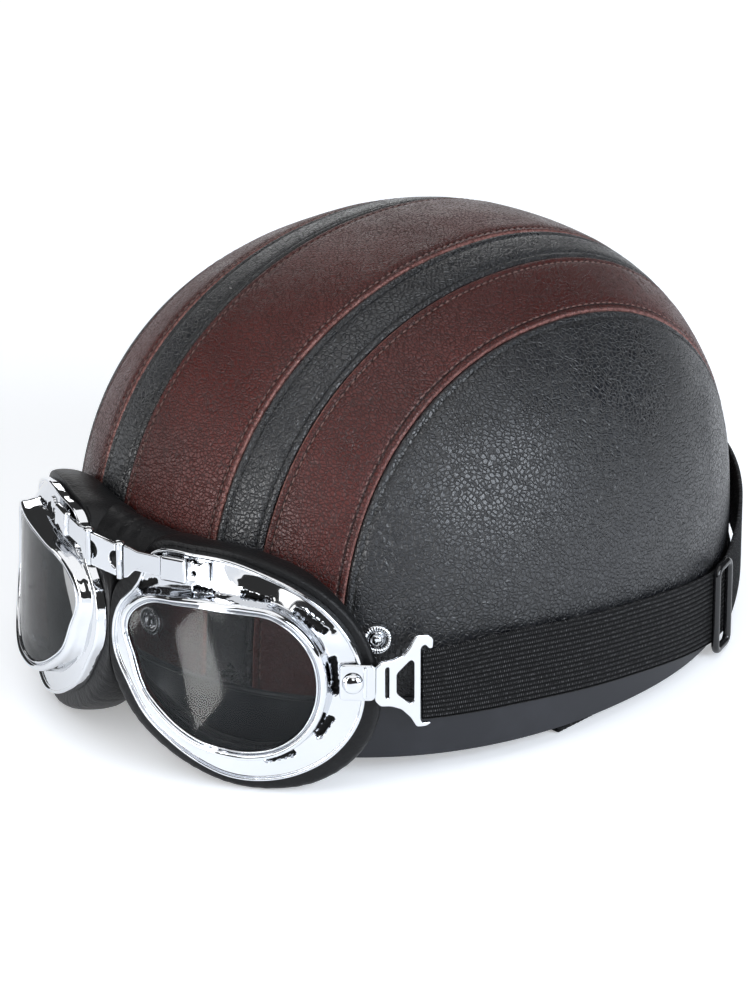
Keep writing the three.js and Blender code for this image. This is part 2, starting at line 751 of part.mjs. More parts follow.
function strapBody() {
  const stations = range(strap.steps + 1).map((i) => {
    const share = i / strap.steps;
    const middle = strapPoint(share);
    const { out } = strapSide(share);
    const toEnd = Math.min(share, 1 - share, strap.endShare) / strap.endShare;
    const width = THREE.MathUtils.lerp(strap.endWidth, strap.width, toEnd);
    const corner = (side, up) =>
      middle.clone().addScaledVector(out, (side * strap.thickness) / 2).setZ(middle.z + (up * width) / 2);
    return [corner(1, -1), corner(1, 1), corner(-1, 1), corner(-1, -1)];
  });
  return sweep(stations, false);
}

// Slider: a loop that stands round the strap's edges, its bars over the strap's outer face
function sliderBody() {
  const { width, bar, edgeGap, thickness, corner } = slider;
  const tall = strap.width / 2 + edgeGap + bar;
  const wide = width / 2;
  const outline = cutRectangle(-wide, -tall, wide, tall, corner);
  const hole = rectangle(bar - wide, bar - tall, wide - bar, tall - bar);
  return prism(outline, [hole], (x, y, level) => vec(x, y, (level - 0.5) * thickness));
}

// Webbing bent along a path in the X-Z plane, its width along Y
function ribbonOutline(points, thickness) {
  const sides = [1, -1].map((side) => points.map(([x, z], i) => {
    const [px, pz] = points[Math.max(i - 1, 0)];
    const [nx, nz] = points[Math.min(i + 1, points.length - 1)];
    const length = Math.hypot(nx - px, nz - pz);
    const half = (side * thickness) / 2;
    return [x - ((nz - pz) / length) * half, z + ((nx - px) / length) * half];
  }));
  return [...sides[0], ...sides[1].reverse()];
}

function chinPath() {
  const low = chin.lift + chin.thickness / 2;
  const high = low + chin.layerRise;
  const bend = chin.layerRise / 2;
  const foldX = chin.foldReach - bend - chin.thickness / 2;
  const leg = crown.halfWidth - leather - panelBacking - shellWall - chin.wallGap - chin.thickness / 2;
  const arc = (x, z, radius, from, to, steps) => range(steps + 1).map((i) => {
    const angle = from + ((to - from) * i) / steps;
    return [x + Math.cos(angle) * radius, z + Math.sin(angle) * radius];
  });
  const quarter = Math.PI / 2;
  return [
    [buckle.length / 2 + seatGap, low],
    ...arc(foldX, low + bend, bend, -quarter, quarter, 5),
    ...arc(leg + chin.turnRadius, high + chin.turnRadius, chin.turnRadius, -quarter, -2 * quarter, 4),
    [leg, chin.anchorHeight],
  ];
}

function chinGeometry(mirrored) {
  const at = (x, z, level) => vec(x, chin.centreY + (0.5 - level) * chin.width, z);
  return prism(ribbonOutline(chinPath(), chin.thickness), [], at).geometry(mirrored);
}

function buckleGeometry() {
  const { length, width, height, corner, topShare } = buckle;
  const outline = cutRectangle(-length / 2, -width / 2, length / 2, width / 2, corner);
  const at = (x, y, level) => {
    const inset = level ? topShare : 1;
    return vec(x * inset, chin.centreY + y * inset, chin.lift + level * height);
  };
  return prism(outline, [], at).geometry();
}

// Scene graph
const part = new THREE.Group();
const floorFrame = new THREE.Group();
const helmet = new THREE.Group();
part.add(floorFrame);
floorFrame.add(helmet);

function place(parent, name, geometry, material) {
  geometry.computeVertexNormals();
  const mesh = new THREE.Mesh(geometry, material);
  mesh.name = name;
  parent.add(mesh);
  return mesh;
}

// Turns a mesh so that its own z axis points along out and its own y axis as far up as it can
function stand(mesh, position, out, up) {
  const x = up.clone().cross(out).normalize();
  const y = out.clone().cross(x);
  mesh.quaternion.setFromRotationMatrix(new THREE.Matrix4().makeBasis(x, y, out));
  mesh.position.copy(position);
}

const sides = [{ name: 'left', mirrored: false }, { name: 'right', mirrored: true }];
const flipX = (p, mirrored) => (mirrored ? vec(-p.x, p.y, p.z) : p.clone());
const up = vec(0, 0, 1);
const halfSeam = seamGap / 2;
const centreEdge = shifted(seams.centre, -halfSeam);

place(helmet, 'shell', shellBody().geometry(), foam);
place(helmet, 'rim_band', bandBody().geometry(), rubber);
const otherEdge = { x: -centreEdge.x, flare: centreEdge.flare };
place(helmet, 'centre_stripe', panelBody(otherEdge, centreEdge, panelSteps.centre).geometry(), brownLeather);

for (const { name, mirrored } of sides) {
  const { centre, narrow: middleSeam, side } = seams;
  const narrow = panelBody(shifted(centre, halfSeam), shifted(middleSeam, -halfSeam), panelSteps.narrow);
  const outer = panelBody(shifted(middleSeam, halfSeam), shifted(side, -halfSeam), panelSteps.outer);
  place(helmet, `narrow_stripe_${name}`, narrow.geometry(mirrored), blackLeather);
  place(helmet, `outer_stripe_${name}`, outer.geometry(mirrored), brownLeather);
  place(helmet, `side_panel_${name}`, sidePanelBody().geometry(mirrored), blackLeather);
}

function addSnap(name, height, planAngle, mirrored) {
  const direction = wallPoint(radians(planAngle), 0, height).setZ(0).normalize();
  const rayAt = (t) => direction.clone().multiplyScalar(t).setZ(height);
  const onCrown = crossing(rayAt, 0, crown.halfLength * 1.5);
  const out = crownNormal(onCrown);
  const seat = onCrown.addScaledVector(out, seatGap);
  const mesh = place(helmet, name, snapGeometry(), chrome);
  stand(mesh, flipX(seat, mirrored), flipX(out, mirrored), up);
}

addSnap('snap_front', frontSnapHeight, -90, false);
for (const { name, mirrored } of sides) {
  addSnap(`snap_${name}`, sideSnap.height, sideSnap.planAngle, mirrored);
}

const mask = place(helmet, 'mask', maskGeometry(), padding);
place(helmet, 'bridge_link', linkGeometry(), chrome);

for (const { name, mirrored } of sides) {
  place(helmet, `frame_${name}`, frameGeometry(mirrored), chrome);
  place(helmet, `lens_${name}`, lensGeometry(mirrored), clearLens);
  const arm = flangePlate(armOutline(), bridge.armLow, bridge.armHigh, mirrored);
  place(helmet, `bridge_arm_${name}`, arm, chrome);
  const box = cutRectangle(sleeve.from, sleeve.bottom, sleeve.to, sleeve.top, sleeve.corner);
  place(helmet, `arm_sleeve_${name}`, flangePlate(box, sleeve.low, sleeve.high, mirrored), chrome);
  const tab = cutRectangle(endTab.from, endTab.bottom, endTab.to, endTab.top, endTab.corner);
  place(helmet, `arm_tab_${name}`, flangePlate(tab, endTab.low, endTab.high, mirrored), chrome);
  const pin = place(helmet, `hinge_pin_${name}`, pinGeometry(), chrome);
  pin.position.copy(flipX(pinPoint, mirrored));
  const plate = cutRectangle(clip.from, clip.bottom, clip.to, clip.top, clip.corner);
  place(helmet, `strap_clip_${name}`, flangePlate(plate, clip.low, clip.high, mirrored), chrome);
  const seat = fromEye(rivet.u, rivet.v, flangeAt(rivet.u) + clip.high + seatGap);
  const lean = Math.atan(eye.flangeCurve * (rivet.u - eye.crownU));
  const out = axisW.clone().applyAxisAngle(axisV, lean);
  const head = place(helmet, `rivet_${name}`, rivetGeometry(), chrome);
  stand(head, flipX(seat, mirrored), flipX(out, mirrored), up);
  place(helmet, `strap_hook_${name}`, hookGeometry(mirrored), chrome);
}

place(helmet, 'strap', strapBody().geometry(), webbing);
const slide = place(helmet, 'slider', sliderBody().geometry(), blackPlastic);
const sliderSide = strapSide(slider.share);
const sliderOff = strap.thickness / 2 + seatGap + slider.thickness / 2;
stand(slide, strapPoint(slider.share).addScaledVector(sliderSide.out, sliderOff), sliderSide.out, up);

// At rest the helmet stands on the back of its rim and on the pads of the mask, so it leans back
const rearFoot = wallPoint(Math.PI / 2, -band.chamfer, 0);
const maskPoints = mask.geometry.attributes.position;
const restTilt = Math.max(...range(maskPoints.count).map((i) =>
  Math.atan2(-maskPoints.getZ(i), rearFoot.y - maskPoints.getY(i))));
helmet.rotation.x = -restTilt;
helmet.position.y = rearFoot.y * (1 - Math.cos(restTilt));
helmet.position.z = rearFoot.y * Math.sin(restTilt);

for (const { name, mirrored } of sides) {
  place(floorFrame, `chin_strap_${name}`, chinGeometry(mirrored), webbing);
  const face = chinPath().at(-1)[0] - chin.thickness / 2 - seatGap;
  const rivetCap = turned([
    [0, 0], [chinRivet.radius, 0], [chinRivet.radius, chinRivet.height * 0.6],
    [chinRivet.radius - 1.2, chinRivet.height], [0, chinRivet.height],
  ], chinRivet.sides);
  const cap = place(floorFrame, `chin_rivet_${name}`, rivetCap, chrome);
  const spot = vec(face, chin.centreY, chin.anchorHeight - chinRivet.drop);
  stand(cap, flipX(spot, mirrored), flipX(vec(-1, 0, 0), mirrored), up);
}
place(floorFrame, 'chin_buckle', buckleGeometry(), blackPlastic);

// The origin lies under the middle of the whole part, on the surface that it stands on
part.updateMatrixWorld(true);
const bounds = new THREE.Box3().setFromObject(part, true);
const middle = bounds.getCenter(vec(0, 0, 0));
floorFrame.position.set(-middle.x, -middle.y, -bounds.min.z);
part.updateMatrixWorld(true);

export default part;
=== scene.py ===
"""Looks of a leather-covered motorcycle half helmet with chrome goggles.

Shapes are worked out in millimetres in the helmet frame: +X wearer's left, +Y back, +Z up,
rim at z = 0. to_part() turns them into metres in the part's own frame.
"""
import json
import math

import bpy
import numpy as np
from bpy.props import FloatProperty, FloatVectorProperty, IntProperty, PointerProperty
from mathutils import Matrix, Vector
from mathutils.geometry import tessellate_polygon


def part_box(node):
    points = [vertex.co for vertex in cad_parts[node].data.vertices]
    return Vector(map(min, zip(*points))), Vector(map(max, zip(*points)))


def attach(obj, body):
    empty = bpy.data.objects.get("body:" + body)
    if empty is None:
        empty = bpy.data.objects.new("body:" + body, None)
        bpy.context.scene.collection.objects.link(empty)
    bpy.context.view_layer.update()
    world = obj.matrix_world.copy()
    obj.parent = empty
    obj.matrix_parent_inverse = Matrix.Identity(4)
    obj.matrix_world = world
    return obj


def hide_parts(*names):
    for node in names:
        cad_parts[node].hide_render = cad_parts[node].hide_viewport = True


bl_info = {
    "name": "Half Helmet Looks",
    "version": (1, 0, 0),
    "blender": (4, 5, 0),
    "location": "3D View > Sidebar > Helmet",
    "description": "Leather cover, rim, chrome goggles and straps of a half helmet",
    "category": "Object",
}

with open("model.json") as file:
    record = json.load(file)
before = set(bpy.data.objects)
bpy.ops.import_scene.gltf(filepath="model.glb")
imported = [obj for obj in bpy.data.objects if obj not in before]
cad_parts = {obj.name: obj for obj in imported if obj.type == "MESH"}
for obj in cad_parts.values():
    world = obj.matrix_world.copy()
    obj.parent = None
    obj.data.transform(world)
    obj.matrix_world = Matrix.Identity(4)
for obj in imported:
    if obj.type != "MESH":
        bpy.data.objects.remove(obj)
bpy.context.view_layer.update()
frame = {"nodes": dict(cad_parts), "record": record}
MM = 0.001
TAU = 2 * math.pi

# Crown, seams and rim, as in the part
CROWN = {"half_width": 118.35, "half_length": 135.0, "height": 165.5, "plan": 2.169,
         "rise": 2.841, "narrow": 1.977, "centre_y": 1.8, "lean": 4.4}
RIM = {"height": 25.2, "lip": 12.0, "lip_height": 2.0, "chamfer": 1.2, "bead": 1.0, "bead_height": 2.4}
SEAMS = {"centre": (25.35, 0.024), "narrow": (44.76, 0.025), "side": (71.7, 0.076)}
LEATHER = 1.5
SHELL_SINK = 2.4
SHELL_WALL = 22.0
REST_TILT = math.radians(2.1512)

# Goggles: one eye in its own axes, u to the temple, v up, w forward
EYE = {"x": 54.6, "y": -138.7, "z": 42.8, "yaw": 29.83, "pitch": 3.12, "flange_curve": 0.0059,
       "lens_curve": 0.0097, "crown_u": 2.2, "centre_u": -4.0, "centre_v": -2.0}
FRAME = {"flange": 50.0, "lens": 36.0, "lens_rise": 9.0, "lip": 0.8, "lip_width": 1.4, "skirt": 2.6}
BEZEL = {"width": 4.6, "depth": 2.6, "wall": 3.1}
PAD = {"proud": 8.0, "gap": 0.4, "inset": 4.6, "back_inset": 8.0}
NOSE_GAP = 0.05

# Eye outline every 18 degrees from the temple upward: shares of flange, lens and pad overhang, and
# the pad's depth as a share of the way back to the helmet
EYE_ROWS = np.array([
    (1.02, 0.98, 0.45, 0.42), (0.97, 0.96, 0.40, 0.42), (0.91, 0.92, 0.40, 0.62), (0.86, 0.86, 0.40, 0.90),
    (0.84, 0.76, 0.40, 1.00), (0.87, 0.72, 0.40, 1.00), (0.93, 0.76, 0.40, 1.00), (1.05, 0.87, 0.35, 0.90),
    (0.95, 1.09, 0.70, 0.55), (1.00, 1.18, 0.85, 0.32), (0.98, 1.03, 0.95, 0.28), (0.90, 0.96, 1.00, 0.40),
    (0.87, 0.87, 1.00, 0.75), (0.84, 0.82, 0.95, 1.00), (0.85, 0.80, 0.80, 1.00), (0.89, 0.80, 0.70, 1.00),
    (0.93, 0.85, 0.75, 1.00), (0.98, 0.92, 0.90, 1.00), (1.03, 0.975, 0.85, 0.80), (1.05, 0.99, 0.65, 0.52),
])
EYE_COLUMN = {"flange": 0, "lens": 1, "proud": 2, "depth": 3}

# Vent slots in the flange: middle in u and v, length and turn in degrees
SLOTS = [
    (-51.6, 21.8, 9.1, 69), (-38.1, 26.2, 10.2, 28), (-13.8, 28.0, 9.6, -5), (6.9, 28.8, 12.1, -9),
    (27.5, 21.0, 14.3, -38), (36.2, -0.8, 15.7, -87), (32.7, -22.0, 11.0, -122), (16.0, -35.2, 12.6, -160),
]

# Strap: share of the way from the left hook, distance off the helmet wall and height of its middle
STRAP = {"width": 31.0, "thickness": 1.8, "start": -37.7, "end_width": 28.4, "end_share": 0.05}
STRAP_ROWS = np.array([
    (0, 7, 33), (0.065, 3, 32.4), (0.136, 2.6, 28.6), (0.225, 2.6, 20.4), (0.25, 2.6, 18.2),
    (0.275, 3.2, 19.2), (0.345, 4.6, 32.2), (0.42, 5, 39.5), (0.5, 3, 41.5), (0.65, 2.6, 41),
    (0.8, 2.6, 38.6), (0.935, 3, 34.6), (1, 7, 33),
])
SLIDER = {"share": 0.25, "width": 16.0, "bar": 3.2, "gap": 0.5, "thickness": 3.2}
HOOK = {"x": 94.0, "y": -110.0, "heading": math.radians(72.2), "thickness": 1.6}
HOOK_OUTLINE = [
    (2.7, 31), (2.9, 45), (5.3, 46.6), (10.3, 46.4), (14.7, 47.6), (17.4, 50.4), (19.8, 54.6), (25.4, 53.9),
    (27.1, 51.6), (26.9, 47.9), (25.3, 47.9), (23.6, 50.2), (21.8, 49.2), (21.8, 18.9), (22.6, 17.9),
    (26.6, 17.2), (24.4, 15.9), (20.2, 16.4), (17.7, 20.9), (13.8, 25.2), (9.4, 27.4), (4.8, 28.4)]
HOOK_WINDOW = [(6.9, 31.2), (8.6, 31.2), (8.6, 44), (6.9, 44)]
HOOK_EYE = [(11.7, 32.3), (17.6, 26.8), (19.1, 27.8), (19.1, 43.8), (17.6, 45.1), (11.7, 40.5)]
BRIDGE = {"pin_u": -48.9, "pin_v": 34.0, "lift": 2.6, "pin": 1.3, "head": 2.1, "length": 14.0, "cap": 1.2,
          "link": 13.2, "link_thickness": 1.5, "notch": 3.6, "low": 1.3, "high": 2.9}
CHIN = {"width": 25.0, "thickness": 1.5, "centre_y": -13.0, "lift": 0.4, "fold": 112.7, "rise": 1.95,
        "turn": 4.0, "anchor": 46.0, "wall_gap": 3.4}
CHIN_RIBS = 10
BUCKLE = {"length": 50.0, "width": 30.0, "height": 8.6, "bevel": 2.2, "corner": 3.0, "waist": 2.5}

# Camera: the photograph's view, in the helmet frame
CAMERA = {"azimuth": 45.43, "elevation": 23.642, "distance": 1970.8, "target_height": 70.0,
          "focal_px": 4961.3, "target_px": (401.3, 452.2), "frame_px": (750, 1000)}


# Settings a user would change
class LeatherSettings(bpy.types.PropertyGroup):
    """Sizes and colours of the leather cover"""
    brown: FloatVectorProperty(name="Brown", description="Colour of the brown stripes", subtype="COLOR",
                               default=(0.056, 0.0088, 0.0070), min=0, max=1)
    # Edge colour of the brown stripes: wear with a painted highlight, lighter than the brown along the rolled
    # edges
    edge_wear_and_shading: FloatVectorProperty(name="Worn edge", description="Colour of the brown stripes' worn folded edges",
                              subtype="COLOR", default=(0.27, 0.125, 0.110), min=0, max=1)
    black: FloatVectorProperty(name="Black", description="Colour of the black panels", subtype="COLOR",
                               default=(0.0075, 0.0083, 0.0108), min=0, max=1)
    grain: FloatProperty(name="Grain", description="Size of one pebble of the grain", unit="LENGTH",
                         default=0.0018, min=0.0003)
    edge_roll: FloatProperty(name="Edge roll", description="Radius of a folded leather edge", unit="LENGTH",
                             default=0.0011, min=0.0002)
    stitch_inset: FloatProperty(name="Stitch inset", description="Distance of a stitch row from its seam",
                                unit="LENGTH", default=0.0031, min=0.001)
    stitch_pitch: FloatProperty(name="Stitch pitch", description="Distance from one stitch to the next",
                                unit="LENGTH", default=0.0034, min=0.001)


class GoggleSettings(bpy.types.PropertyGroup):
    """Colours and finish of the goggles"""
    chrome: FloatVectorProperty(name="Chrome", description="Tint of the chrome", subtype="COLOR",
                                default=(0.70, 0.715, 0.74), min=0, max=1)
    pad: FloatVectorProperty(name="Pad", description="Colour of the padded mask", subtype="COLOR",
                             default=(0.0040, 0.0040, 0.0046), min=0, max=1)
    wave: FloatProperty(name="Wave", description="Height of the slow waves in the chrome", unit="LENGTH",
                        default=0.00022, min=0)


class StrapSettings(bpy.types.PropertyGroup):
    """Sizes and colours of the straps"""
    webbing: FloatVectorProperty(name="Webbing", description="Colour of the elastic strap", subtype="COLOR",
                                 default=(0.0065, 0.0065, 0.0072), min=0, max=1)
    ribs: IntProperty(name="Ribs", description="Ribs across the elastic strap", default=15, min=3)
    rib_height: FloatProperty(name="Rib height", description="Height of one rib", unit="LENGTH",
                              default=0.00050, min=0)


class StageSettings(bpy.types.PropertyGroup):
    """Strength of the studio lights"""
    overhead: FloatProperty(name="Overhead", description="Light of the wide overhead diffuser on the floor",
                            default=1.50, min=0)
    side: FloatProperty(name="Side", description="Brightness of the softboxes round the stage",
                        default=2.6, min=0)
    card: FloatProperty(name="Lens card", description="Brightness of the cards that the lenses mirror",
                        default=13.0, min=0)
    world: FloatProperty(name="Surroundings", description="Brightness of the dim room round the stage",
                         default=0.04, min=0)


# Places
def tilt_matrix():
    """Turn about X by the rest tilt: the helmet leans back from its rim onto the goggle pads."""
    c, s = math.cos(REST_TILT), math.sin(REST_TILT)
    return np.array([(1, 0, 0), (0, c, s), (0, -s, c)])


TILT = tilt_matrix()


def helmet_origin():
    """Where the helmet frame starts: the rim band is as wide on both sides, has its middle at the
    crown's centre line and stands on z = 0, once the rest tilt is turned back."""
    mesh = frame["nodes"]["rim_band"].data
    points = np.empty(len(mesh.vertices) * 3)
    mesh.vertices.foreach_get("co", points)
    upright = points.reshape(-1, 3) @ TILT
    low, high = upright.min(0), upright.max(0)
    return np.array([(low[0] + high[0]) / 2, (low[1] + high[1]) / 2 - CROWN["centre_y"] * MM, low[2]])


ORIGIN = helmet_origin()


def to_part(points):
    """Helmet-frame millimetres to part-frame metres: shifted to the origin, then tilted."""
    return (np.asarray(points, float) * MM + ORIGIN) @ TILT.T


def on_floor(points):
    """Pieces that lie on the floor aren't tilted: they only move with the part's centre."""
    base = (ORIGIN @ TILT.T) / MM
    centre_y = floor_centre_y()
    return (np.asarray(points, float) + (base[0], centre_y, 0)) * MM


def floor_centre_y():
    """The floor frame's own middle, from the chin buckle, which lies at its known place."""
    low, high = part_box("chin_buckle")
    return (low.y + high.y) / 2 / MM - CHIN["centre_y"]


# Formulas
def smooth(t):
    """The cubic step 3t^2 - 2t^3 between 0 and 1."""
    t = np.clip(t, 0, 1)
    return t * t * (3 - 2 * t)


def read_table(rows, column, at):
    """A cubic through each row of the table, with each slope averaged from the rows beside it."""
    key, value = rows[:, 0], rows[:, column]
    last = len(rows) - 1
    before, after = np.maximum(np.arange(last + 1) - 1, 0), np.minimum(np.arange(last + 1) + 1, last)
    slope = (value[after] - value[before]) / (key[after] - key[before])
    i = np.clip(np.searchsorted(key, at, side="left") - 1, 0, last - 1)
    step = key[i + 1] - key[i]
    t = (at - key[i]) / step
    ends = value[i] * (1 + 2 * t) * (1 - t) ** 2 + value[i + 1] * t * t * (3 - 2 * t)
    return ends + step * t * (1 - t) * (slope[i] * (1 - t) - slope[i + 1] * t)


def unit(vectors):
    """Vectors divided by their own lengths."""
    return vectors / np.maximum(np.linalg.norm(vectors, axis=-1, keepdims=True), 1e-12)


def crown_level(points, grow=0.0):
    """Below zero inside the crown: a superellipse plan that narrows as a power of the rise."""
    x, y, z = points[..., 0], points[..., 1], points[..., 2]
    rise = np.maximum(0, (z - RIM["height"]) / (CROWN["height"] + grow - RIM["height"]))
    lean = CROWN["centre_y"] + CROWN["lean"] * rise
    across = np.abs(x / (CROWN["half_width"] + grow)) ** CROWN["plan"]
    along = np.abs((y - lean) / (CROWN["half_length"] + grow)) ** CROWN["plan"]
    return (across + along) ** (CROWN["narrow"] / CROWN["plan"]) + rise ** CROWN["rise"] - 1


def crossing(point_at, near, far, grow=0.0):
    """Where rays cross the crown, by halving the stretch between a point inside and one outside."""
    inside, outside = near, far
    for _ in range(34):
        middle = (inside + outside) / 2
        below = crown_level(point_at(middle), grow) < 0
        inside = np.where(below, middle, inside)
        outside = np.where(below, outside, middle)
    return point_at((inside + outside) / 2)


def crown_normal(points):
    """Direction in which the crown's level rises fastest, from differences across 0.02 mm."""
    h = 0.01
    slopes = [crown_level(points + h * axis) - crown_level(points - h * axis) for axis in np.eye(3)]
    return unit(np.stack(slopes, -1))


def seam_points(x, flare, angle):
    """Points over a line that runs from the front rim (angle 0) over the top to the back rim (pi)."""
    foot = RIM["height"] + 0.15

    def point_at(reach):
        """The point at a reach along a ray that starts over the foot of the crown."""
        y = -np.cos(angle) * reach
        across = x * (1 + flare * (y / CROWN["half_length"]) ** 2)
        return np.stack([across, y + CROWN["centre_y"], foot + np.sin(angle) * reach], -1)

    shape = np.broadcast_shapes(np.shape(x), np.shape(angle))
    return crossing(point_at, np.zeros(shape), np.full(shape, 300.0))


def wall_points(angle, grow, z):
    """Superellipse plan of the helmet wall, grown outward: cosine and sine raised to 2 / power."""
    c, s = np.cos(angle), np.sin(angle)
    power = 2 / CROWN["plan"]
    x = (CROWN["half_width"] + grow) * np.sign(c) * np.abs(c) ** power
    y = (CROWN["half_length"] + grow) * np.sign(s) * np.abs(s) ** power + CROWN["centre_y"]
    return np.stack(np.broadcast_arrays(x, y, z), -1)


# Meshes
def mesh_object(name, points, faces, uv=None, sharp=math.radians(42)):
    """A smooth-shaded object from points in metres and faces, turned so that its volume is positive."""
    corners = np.array([(f[0], f[1], f[2]) for f in faces])
    a, b, c = points[corners[:, 0]], points[corners[:, 1]], points[corners[:, 2]]
    quads = [k for k, f in enumerate(faces) if len(f) > 3]
    volume = np.einsum("ij,ij->i", a, np.cross(b, c)).sum()
    if quads:
        d = points[[faces[k][3] for k in quads]]
        volume += np.einsum("ij,ij->i", a[quads], np.cross(c[quads], d)).sum()
    if volume < 0:
        faces = [f[::-1] for f in faces]
    mesh = bpy.data.meshes.new(name)
    mesh.from_pydata(points.tolist(), [], [list(map(int, f)) for f in faces])
    mesh.update()
    mesh.shade_smooth()
    mesh.set_sharp_from_angle(angle=sharp)
    if uv is not None:
        layer = mesh.uv_layers.new(name="UVMap")
        loops = np.empty(len(mesh.loops), np.int32)
        mesh.loops.foreach_get("vertex_index", loops)
        layer.data.foreach_set("uv", uv[loops].astype(np.float32).ravel())
    obj = bpy.data.objects.new(name, mesh)
    bpy.context.scene.collection.objects.link(obj)
    return obj


def grid_faces(rows, columns, wrap_rows, wrap_columns, start=0):
    """Quads between neighbouring rows and columns of a grid of points."""
    index = np.arange(rows * columns).reshape(rows, columns) + start
    if wrap_rows:
        index = np.vstack([index, index[:1]])
    if wrap_columns:
        index = np.hstack([index, index[:, :1]])
    quads = np.stack([index[:-1, :-1], index[1:, :-1], index[1:, 1:], index[:-1, 1:]], -1)
    return quads.reshape(-1, 4).tolist()


def swept(grid, closed_path=False):
    """Points and faces of closed profiles carried along a path: grid[station, profile point]."""
    rows, columns = grid.shape[:2]
    faces = grid_faces(rows, columns, closed_path, True)
    points = grid.reshape(-1, 3)
    if not closed_path:
        ends = np.array([grid[0].mean(0), grid[-1].mean(0)])
        first, last = len(points), len(points) + 1
        points = np.vstack([points, ends])
        j = np.arange(columns)
        k = (j + 1) % columns
        base = (rows - 1) * columns
        faces += np.stack([np.full(columns, first), j, k], -1).tolist()
        faces += np.stack([np.full(columns, last), base + k, base + j], -1).tolist()
    return points, faces


def turned(profile, steps):
    """A profile of radius and height turned about +Z, its ends on the axis."""
    profile = np.array(profile, float)
    angle = np.arange(steps) / steps * TAU
    ring = np.stack([np.cos(angle), np.sin(angle)], -1)
    inner = profile[1:-1]
    heights = np.broadcast_to(inner[None, :, 1:], (steps, len(inner), 1))
    points = np.concatenate([inner[None, :, :1] * ring[:, None], heights], -1)
    faces = grid_faces(steps, len(inner), True, False)
    flat = points.reshape(-1, 3)
    bottom, top = len(flat), len(flat) + 1
    flat = np.vstack([flat, [(0, 0, profile[0, 1]), (0, 0, profile[-1, 1])]])
    i = np.arange(steps)
    k = (i + 1) % steps
    columns = len(inner)
    faces += np.stack([np.full(steps, bottom), k * columns, i * columns], -1).tolist()
    last = columns - 1
    faces += np.stack([np.full(steps, top), i * columns + last, k * columns + last], -1).tolist()
    return flat, faces


def rounded(outline, radius, steps=4):
    """An outline with each corner cut by a quadratic arc that starts radius away from the corner."""
    points = np.array(outline, float)
    before, after = np.roll(points, 1, 0), np.roll(points, -1, 0)
    reach_in = np.minimum(radius, 0.45 * np.linalg.norm(before - points, axis=1))[:, None]
    reach_out = np.minimum(radius, 0.45 * np.linalg.norm(after - points, axis=1))[:, None]
    start = points + unit(before - points) * reach_in
    end = points + unit(after - points) * reach_out
    t = np.linspace(0, 1, steps + 1)[None, :, None]
    arcs = start[:, None] * (1 - t) ** 2 + 2 * points[:, None] * t * (1 - t) + end[:, None] * t * t
    return arcs.reshape(-1, 2)


def plate(outline, holes, low, high, bevel, at, corner=0.5):
    """A flat plate with rounded edges: rings of each outline set in along a quarter circle at both
    faces, the faces filled between the innermost rings. at(x, y, level) places every point."""
    loops = [rounded(loop, corner) for loop in [outline, *holes]]
    area = [np.sum(p[:, 0] * np.roll(p[:, 1], -1) - np.roll(p[:, 0], -1) * p[:, 1]) for p in loops]
    loops = [p if (s > 0) == (k == 0) else p[::-1] for k, (p, s) in enumerate(zip(loops, area))]
    turn = np.radians([0, 30, 60, 90])
    inset = bevel * (1 - np.sin(turn))
    drop = bevel * (1 - np.cos(turn))
    ring_inset = np.concatenate([inset, inset[::-1]])
    ring_level = np.concatenate([low + drop, (high - drop)[::-1]])
    points, faces, caps, start = [], [], ([], []), 0
    for loop in loops:
        edge = unit(np.roll(loop, -1, 0) - np.roll(loop, 1, 0))
        inward = np.stack([-edge[:, 1], edge[:, 0]], -1)
        flat = loop[None] + inward[None] * ring_inset[:, None, None]
        rings = np.concatenate([flat, np.broadcast_to(ring_level[:, None, None], flat.shape[:2] + (1,))], -1)
        faces += grid_faces(len(ring_inset), len(loop), False, True, start)
        caps[0].append((start, rings[0]))
        caps[1].append((start + (len(ring_inset) - 1) * len(loop), rings[-1]))
        points.append(rings.reshape(-1, 3))
        start += rings.shape[0] * len(loop)
    for side, cap in enumerate(caps):
        index = np.concatenate([first + np.arange(len(ring)) for first, ring in cap])
        triangles = tessellate_polygon([[Vector((x, y, 0)) for x, y, _ in ring] for _, ring in cap])
        corners = index[np.array(triangles)]
        flat = np.concatenate([ring for _, ring in cap])
        tri = flat[np.array(triangles)]
        wide = np.cross(tri[:, 1, :2] - tri[:, 0, :2], tri[:, 2, :2] - tri[:, 0, :2])
        wrong = (wide > 0) == (side == 0)
        corners[wrong] = corners[wrong][:, ::-1]
        faces += corners[np.abs(wide) > 1e-9].tolist()
    flat = np.concatenate(points)
    return at(flat[:, 0], flat[:, 1], flat[:, 2]), faces


def join(*bodies):
    """Several bodies of points and faces as one."""
    points, faces, start = [], [], 0
    for body_points, body_faces in bodies:
        points.append(body_points)
        faces += [[k + start for k in face] for face in body_faces]
        start += len(body_points)
    return np.concatenate(points), faces


def mirrored(points, side):
    """The same points on the wearer's right where side is -1."""
    return points * (side, 1, 1)


def finish_piece(obj, material, slot, *nodes):
    """Gives a piece its material, lets it ride with the helmet and stand for CAD nodes; the slot it is passed
    is not used.
    """
    obj.data.materials.append(material)
    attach(obj, "root")
    if nodes:
        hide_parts(*nodes)
    return obj


